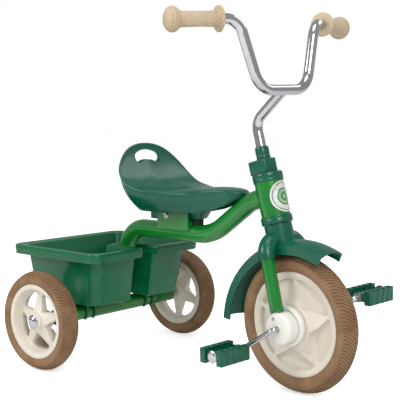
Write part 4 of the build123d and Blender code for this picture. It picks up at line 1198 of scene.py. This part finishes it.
# %% hub discs and bearing covers
SIDES = ((1, "left"), (-1, "right"))
SCREW_AT = (-8.0, -18.0)       # from the front axle; the second one changes sign with the side
DISC_PROFILE = [(4.9, 24.2), (34.5, 24.2), (36.4, 25.4), (37.0, 27.0), (37.0, 31.6), (36.2, 33.8),
                (34.4, 34.8), (31.0, 34.9), (30.2, 34.2), (28.0, 34.2), (27.2, 34.9), (4.9, 34.9)]
COVER_PROFILE = [(5.6, 37.1), (28.6, 37.1), (29.8, 38.0), (30.0, 39.6), (30.0, 42.2), (29.4, 42.8),
                 (29.4, 43.6), (30.0, 44.2), (29.8, 53.6), (29.0, 56.6), (27.0, 58.6), (23.5, 59.6),
                 (14.0, 60.0), (11.6, 60.0), (10.8, 59.2), (8.2, 59.2), (7.4, 60.2), (5.6, 60.2)]
for side, word in SIDES:
    disc = turned(f"hub_disc_{word}_moulding", [*DISC_PROFILE, DISC_PROFILE[0]], closed=True)
    place(disc, FRONT @ facing(side))
    dressed(disc, cover_white, "cover_white", "front_wheel", f"hub_disc_{word}")
    cover = turned(f"bearing_cover_{word}_moulding", [*COVER_PROFILE, COVER_PROFILE[0]],
                   closed=True)
    boss = turned("screw_boss", [(6.2, 54.0), (6.2, 59.4), (5.4, 60.3), (3.9, 60.5)], steps=40,
                  first_pole=54.0, last_pole=60.5)
    place(boss, Matrix.Translation(mm(SCREW_AT[0], SCREW_AT[1] * side, 0)))
    cover = joined(cover.name, [cover, boss])
    place(cover, FRONT @ facing(side))
    dressed(cover, cover_white, "cover_white", "steering", f"bearing_cover_{word}")

# %% the cross-headed screws in the covers
SLOT_TURN = 0.3                # radians
screws = []
for side, word in SIDES:
    screw = turned("screw", [(3.5, 60.4), (3.4, 61.0), (2.8, 61.7), (1.8, 62.0)], steps=32,
                   first_pole=60.4, last_pole=62.05)
    for turn in (SLOT_TURN, SLOT_TURN + math.pi / 2):
        slot_bar = block("slot_bar", (-2.2, -0.45, 61.2), (2.2, 0.45, 63.0))
        cut_away(screw, place(slot_bar, Matrix.Rotation(turn, 4, "Z")))
    place(screw, Matrix.Translation(mm(SCREW_AT[0], SCREW_AT[1] * side, 0)))
    screws.append(place(screw, FRONT @ facing(side)))
screws = joined("cover_screw_heads", screws)
dressed(screws, zinc_steel, "zinc_steel", "steering", "cover_screws")

# %% bushes and spacers on the rear axle
axle_low, axle_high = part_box("rear_axle")
AXLE = Matrix.Translation(Vector((0, 0, (axle_low.z + axle_high.z) / 2)))
spacers = []
for side, word in SIDES:
    bush = turned(f"beam_bush_{word}_moulding",
                  [(5.2, 150.0), (13.9, 150.0), (13.9, 168.0), (15.4, 168.0), (16.0, 168.6),
                   (16.0, 171.0), (15.2, 171.9), (9.8, 171.9), (9.2, 171.2), (5.2, 171.2),
                   (5.2, 150.0)], steps=64, closed=True)
    place(bush, AXLE @ facing(side))
    dressed(bush, black_rubber, "black_rubber", "frame", f"beam_bush_{word}")
    spacer = turned("spacer", [(5.1, 172.1), (8.4, 172.1), (9.0, 172.8), (9.0, 177.0), (8.2, 177.6),
                               (8.2, 183.0), (9.0, 183.6), (9.0, 188.0), (8.4, 188.6), (5.1, 188.6),
                               (5.1, 172.1)], steps=48, closed=True)
    spacers.append(place(spacer, AXLE @ facing(side)))
spacers = joined("axle_spacer_tubes", spacers)
dressed(spacers, zinc_steel, "zinc_steel", "frame", "axle_spacers")

# %% chrome domes on the rear hubs
for side, word in SIDES:
    dome = turned(f"rear_hub_dome_{word}",
                  [(14.0, 19.4), (14.0, 20.2), (13.2, 20.9), (12.4, 21.0), (11.9, 21.3),
                   (11.0, 22.4), (9.0, 23.8), (6.0, 24.8), (3.0, 25.2)],
                  steps=64, first_pole=19.4, last_pole=25.3)
    place(dome, REAR_PLACES[word] @ facing(side))
    dressed(dome, bright_chrome, "bright_chrome", "frame", f"rear_cap_{word}", smooth=50)

# %% the bolt that holds the saddle, and its nut
BOLT_AT = (170.0, 309.0)       # forward and up
bolt_head = turned("bolt_head", [(6.6, 22.1), (6.8, 22.9), (5.6, 23.1), (5.5, 25.2), (4.6, 26.0),
                                 (2.9, 26.0), (2.6, 24.2)], steps=40,
                   first_pole=22.1, last_pole=24.2)
place(bolt_head, Matrix.Translation(mm(*BOLT_AT, 0)))
place(bolt_head, facing(-1))
nut = ring("nut", 6, 6.4 * MM, 22.2 * MM)
bpy.ops.mesh.edge_face_add()
bpy.ops.mesh.extrude_region_move(TRANSFORM_OT_translate={"value": mm(0, 0, 3.7)})
bpy.ops.mesh.select_all(action="SELECT")
tidy_shell()
rounded(nut, 0.5)
place(nut, Matrix.Translation(mm(BOLT_AT[0], -BOLT_AT[1], 0)))
place(nut, facing(1))
bolts = joined("saddle_bolts", [bolt_head, nut])
dressed(bolts, zinc_steel, "zinc_steel", "frame", "seat_bolts")

# %% the rubber buffer under the saddle
buffer_low, buffer_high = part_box("seat_buffer")
BUFFER_LIP = 2.0 * MM          # top and bottom, left at full width
pad = block("saddle_buffer", buffer_low / MM, buffer_high / MM)
open_mesh(pad)
bpy.ops.mesh.subdivide(number_cuts=5)
choose(pad, "VERT",
       lambda at, _: buffer_low.z + BUFFER_LIP < at.z < buffer_high.z - BUFFER_LIP)
bpy.ops.transform.resize(value=(0.9, 0.9, 1), center_override=(buffer_low + buffer_high) / 2)
choose(pad, "VERT", lambda *_: True)
bpy.ops.transform.resize(value=(0.8, 0.68, 1), center_override=Vector((buffer_low.x, 0, 0)))
close_mesh()
rounded(pad, 0.8)
dressed(pad, black_rubber, "black_rubber", "frame", "seat_buffer")

# %% [markdown]
# ## The head badge
#
# A round badge is wrapped round the head tube. It stays plain: a white disc with a raised border
# ring, printed green rings and a domed middle, with no lettering. It is modelled flat and then
# bent round the tube by moving each point to the tube's radius.

# %% model the badge
HEAD_RADIUS = 27.0
BADGE_PROFILE = [(29.3, 0.1), (29.3, 0.6), (28.9, 0.9), (27.6, 0.9), (27.2, 0.7), (26.0, 0.7),
                 (25.6, 0.95), (24.4, 0.95), (24.0, 0.7), (20.0, 0.7), (16.0, 0.7), (15.5, 1.0),
                 (14.3, 1.0), (13.8, 0.75), (9.0, 0.85), (4.5, 0.9)]
badge = turned("head_badge_disc", BADGE_PROFILE, first_pole=0.1, last_pole=0.9)
for vertex in badge.data.vertices:
    around = vertex.co.x / (HEAD_RADIUS * MM)
    radius = HEAD_RADIUS * MM + vertex.co.z
    up = BADGE_UP * MM + vertex.co.y
    vertex.co = (radius * math.cos(around), radius * math.sin(around), up)
open_mesh(badge)
bpy.ops.mesh.normals_make_consistent(inside=False)
close_mesh()
place(badge, HEAD_FIXED)
dressed(badge, badge_print, "badge_print", "frame", "head_badge")

# %% [markdown]
# ## Grips
#
# The grips are soft cream rubber: a flange against the thumb, a slightly waisted sleeve and a
# round end. They are dotted all over with small dimples, which are pressed into every second
# face of every second row, staggered from one dotted row to the next.

# %% model a grip
GRIP_STEPS = 40
GRIP_ROWS = 24
GRIP_FROM, GRIP_TO = 7.0, 76.0
DOT_PRESS = 0.7
DOT_MARGIN = 0.25
BALL_STEPS = 9
BALL_FROM, BALL_SWEEP = -48, 132       # degrees
BALL_ROW = 3.2                         # the height of a row of dots on the round end
FLANGE = [(9.6, 0.2), (21.8, 0.2), (23.0, 1.0), (23.0, 2.6), (22.0, 3.6), (16.4, 4.2), (14.6, 5.4)]


def grip_profile():
    """The flange, the sleeve with its slight waist, and the round end."""
    points = list(FLANGE)
    for row in range(GRIP_ROWS + 1):
        share = row / GRIP_ROWS
        radius = 14.0 - 0.7 * math.sin(math.pi * share)
        points.append((radius, GRIP_FROM + (GRIP_TO - GRIP_FROM) * share))
    for step in range(1, BALL_STEPS):
        turn = math.radians(BALL_FROM + BALL_SWEEP * step / BALL_STEPS)
        points.append((7.0 + 15.0 * math.cos(turn), 90.0 + 12.6 * math.sin(turn)))
    return points


grip = turned("grip_rubber", grip_profile(), steps=GRIP_STEPS, first_pole=0.2, last_pole=102.9)
open_mesh(grip)


def dotted(at, _):
    """Every second face of every second row, each dotted row a face on from the last."""
    height = at.z / MM
    along_row = (height - GRIP_FROM) / (GRIP_TO - GRIP_FROM) * GRIP_ROWS
    if not (0 < along_row < GRIP_ROWS) and not (GRIP_TO + 6 < height < 100):
        return False
    row = int(along_row)
    if along_row >= GRIP_ROWS:
        row = GRIP_ROWS + int((height - GRIP_TO) / BALL_ROW)
    column = int((math.atan2(at.y, at.x) / (2 * math.pi) + 0.5) * GRIP_STEPS)
    return row % 2 == 0 and (column + row // 2) % 2 == 0


choose(grip, "FACE", dotted)
for press in (0.0, -DOT_PRESS * MM):
    bpy.ops.mesh.inset(thickness=DOT_MARGIN * MM, depth=press, use_individual=True)
close_mesh()
print("grip", len(grip.data.polygons), "faces")

# %% put the grips on the handlebar
GRIP_SWEPT_BACK = math.radians(17.1)
GRIP_DROP = math.radians(1.5)
BAR_MIDDLE = 380.6             # up the steering axis, where the stem meets the handlebar
GRIP_FROM_MIDDLE = (46.1, 136.9, 180.2)
GRIP_START = Vector((-math.sin(head_turn), 0, math.cos(head_turn))) * (BAR_MIDDLE * MM)
GRIP_START += mm(*GRIP_FROM_MIDDLE)


def grip_matrix(side):
    """Stand the grip on the handlebar: its axis runs along the bar's straight end."""
    out = Vector((-math.sin(GRIP_SWEPT_BACK), side * math.cos(GRIP_SWEPT_BACK),
                  -math.tan(GRIP_DROP))).normalized()
    start = Vector((GRIP_START.x, side * GRIP_START.y, GRIP_START.z))
    return FRONT @ Matrix.Translation(start) @ out.to_track_quat("Z", "X").to_matrix().to_4x4()


grip_left = copied(grip, "grip_rubber_left", grip_matrix(1))
place(grip, grip_matrix(-1))
grip.name = "grip_rubber_right"
for word, piece in (("right", grip), ("left", grip_left)):
    dressed(piece, grip_cream, "grip_cream", "steering", f"grip_{word}", smooth=40)

# %% [markdown]
# ## Pedals
#
# A pedal is two ribbed rails joined by a core that turns on the crank. The rails start as boxes
# cut into a row of cells. Every second cell on top and bottom is pushed in, which leaves the
# teeth that hold a shoe, and the cells on the long sides are pressed in as shallow panels.

# %% model a pedal
PEDAL_HALF_WIDTH = 27.0
PEDAL_HALF_HEIGHT = 13.5
PEDAL_RAIL = 13.0
PEDAL_LENGTH = 73.0
CELLS = 9


TOOTH_GAP = 2.2
PANEL_PRESS = 1.0
PANEL_REACH = 8.0              # above and below the middle
WEB_PLACES = ((1.0, 6.0), (20.5, 24.0), (41.0, 44.5), (62.0, 67.0))


def pedal_rail(side):
    """One long rail, from the crank side outwards along Z."""
    inner = PEDAL_HALF_WIDTH - PEDAL_RAIL
    low, high = sorted((side * inner, side * PEDAL_HALF_WIDTH))
    rail = block("rail", (low, -PEDAL_HALF_HEIGHT, 0), (high, PEDAL_HALF_HEIGHT, PEDAL_LENGTH))
    cell = PEDAL_LENGTH / CELLS
    for index in range(1, CELLS):
        open_mesh(rail)
        bpy.ops.mesh.bisect(plane_co=mm(0, 0, index * cell), plane_no=(0, 0, 1))
        close_mesh()
    open_mesh(rail)
    choose(rail, "FACE", lambda at, normal: abs(normal.y) > 0.9
           and int(at.z / MM / cell) % 2 == 1)
    bpy.ops.mesh.extrude_faces_move(TRANSFORM_OT_shrink_fatten={"value": -TOOTH_GAP * MM})
    choose(rail, "FACE", lambda at, normal: abs(normal.x) > 0.9
           and abs(at.y / MM) < PANEL_REACH and int(at.z / MM / cell) % 2 == 0)
    bpy.ops.mesh.inset(thickness=1.3 * MM, depth=-PANEL_PRESS * MM, use_individual=True)
    close_mesh()
    return rounded(rail, 0.6)


def pedal_core():
    """The sleeve on the crank and the four webs that join it to the rails."""
    core = turned("core", [(5.0, 0.3), (9.4, 0.3), (9.8, 1.0), (9.8, 6.0), (8.6, 7.0), (8.6, 60.0),
                           (9.8, 61.0), (9.8, 66.8), (9.4, 67.4), (5.0, 67.4), (5.0, 0.3)],
                  steps=40, closed=True)
    webs = [core]
    for low, high in WEB_PLACES:
        web = block("web", (-16.0, -8.0, low), (16.0, 8.0, high))
        webs.append(rounded(web, 0.6))
    return webs


pedal = joined("pedal_moulding", [pedal_rail(1), pedal_rail(-1), *pedal_core()])

# %% a pedal and a chrome dome on each crank
PEDAL_FACE = 92.0              # from the tricycle's middle plane
for side, word in SIDES:
    pin = joints[f"pedal_{word}_spin"]
    local = FRONT.inverted() @ Vector(pin["pos_m"])
    pedal_at = Matrix.Translation(Vector((local.x, side * PEDAL_FACE * MM, local.z)))
    fresh = copied(pedal, f"pedal_{word}_moulding", FRONT @ pedal_at @ facing(side))
    dressed(fresh, plastic_green, "plastic_green", pin["child"], f"pedal_{word}")
    dome_at = Matrix.Translation(Vector((local.x, 0, local.z)))
    dome = turned(f"pedal_dome_{word}",
                  [(11.2, 160.2), (12.0, 160.6), (12.0, 161.8), (11.4, 162.6), (10.4, 162.9),
                   (8.6, 164.0), (6.0, 164.7), (3.0, 165.0)],
                  steps=56, first_pole=160.2, last_pole=165.1)
    place(dome, FRONT @ dome_at @ facing(side))
    dressed(dome, bright_chrome, "bright_chrome", "front_wheel", f"pedal_cap_{word}", smooth=50)
bpy.data.objects.remove(pedal)

# %% [markdown]
# ## Floor, light and camera
#
# The tricycle stands on a pale floor that runs up into the background, under four soft lamps.

# %% floor
FLOOR_SIZE = 40.0
FLOOR_GLOW = 0.60      # only the eye sees it, so it lights nothing
bpy.ops.object.select_all(action="DESELECT")
bpy.ops.mesh.primitive_plane_add(size=FLOOR_SIZE, location=(0.25, 0, 0))
floor = bpy.context.object
floor.name = "studio_floor"
floor_finish = bpy.data.materials.new("pale_floor")
floor_finish.use_nodes = True
floor_tree = floor_finish.node_tree
floor_shader = floor_tree.nodes["Principled BSDF"]
floor_shader.inputs["Base Color"].default_value = (0.93, 0.93, 0.93, 1)
floor_shader.inputs["Roughness"].default_value = 0.7
glow = floor_tree.nodes.new("ShaderNodeLightPath").outputs["Is Camera Ray"]
glow_level = floor_tree.nodes.new("ShaderNodeMapRange")
glow_level.inputs["To Max"].default_value = FLOOR_GLOW
floor_tree.links.new(glow, glow_level.inputs["Value"])
floor_tree.links.new(glow_level.outputs["Result"], floor_shader.inputs["Emission Strength"])
floor_shader.inputs["Emission Color"].default_value = (1, 1, 1, 1)
floor.data.materials.append(floor_finish)

print("floor", FLOOR_SIZE, "metres wide")

# %% light
# The eye sees a white room, and the tricycle is lit by a dimmer one with bright lamps in it, so
# that its glossy parts show both light and dark.
ROOM_LIGHT, ROOM_SEEN = 0.42, 1.0
world = bpy.data.worlds.new("studio")
bpy.context.scene.world = world
world.use_nodes = True
room = world.node_tree.nodes["Background"]
room.inputs["Color"].default_value = (1, 1, 1, 1)
seen = world.node_tree.nodes.new("ShaderNodeLightPath").outputs["Is Camera Ray"]
room_light = world.node_tree.nodes.new("ShaderNodeMapRange")
room_light.inputs["To Min"].default_value = ROOM_LIGHT
room_light.inputs["To Max"].default_value = ROOM_SEEN
world.node_tree.links.new(seen, room_light.inputs["Value"])
world.node_tree.links.new(room_light.outputs["Result"], room.inputs["Strength"])
bpy.context.scene.view_settings.view_transform = "Standard"
MIDDLE = Vector((0.25, 0.0, 0.3))
for name, spot, size, power in (
    ("key", (2.4, -1.6, 1.9), 1.2, 40),
    ("left", (-1.1, -2.3, 1.6), 1.2, 34),
    ("back", (0.9, 2.2, 2.2), 1.4, 12),
    ("top", (0.9, -0.6, 3.0), 1.6, 26),
):
    bpy.ops.object.light_add(type="AREA", location=spot)
    lamp = bpy.context.object
    lamp.name = name
    lamp.data.size = size
    lamp.data.energy = power
    lamp.rotation_euler = (MIDDLE - Vector(spot)).to_track_quat("-Z", "Y").to_euler()

# %% camera
CAMERA_TURN = 41.11       # degrees round from the rider's right side towards the front
CAMERA_RISE = 6.04
bpy.ops.object.camera_add(
    location=(1.43934, -1.39803, 0.51177),
    rotation=(math.radians(90 - CAMERA_RISE), 0, math.radians(CAMERA_TURN)),
)
camera = bpy.context.object
camera.data.lens = 84.2
camera.data.sensor_width = 36.0
camera.data.shift_x = 0.0208
camera.data.shift_y = 0.0319
bpy.context.scene.camera = camera
print("camera at", [round(value, 2) for value in camera.location])

# %% [markdown]
# ## Done
#
# The scene is brought up to date at the end.

# %% finish
bpy.context.view_layer.update()
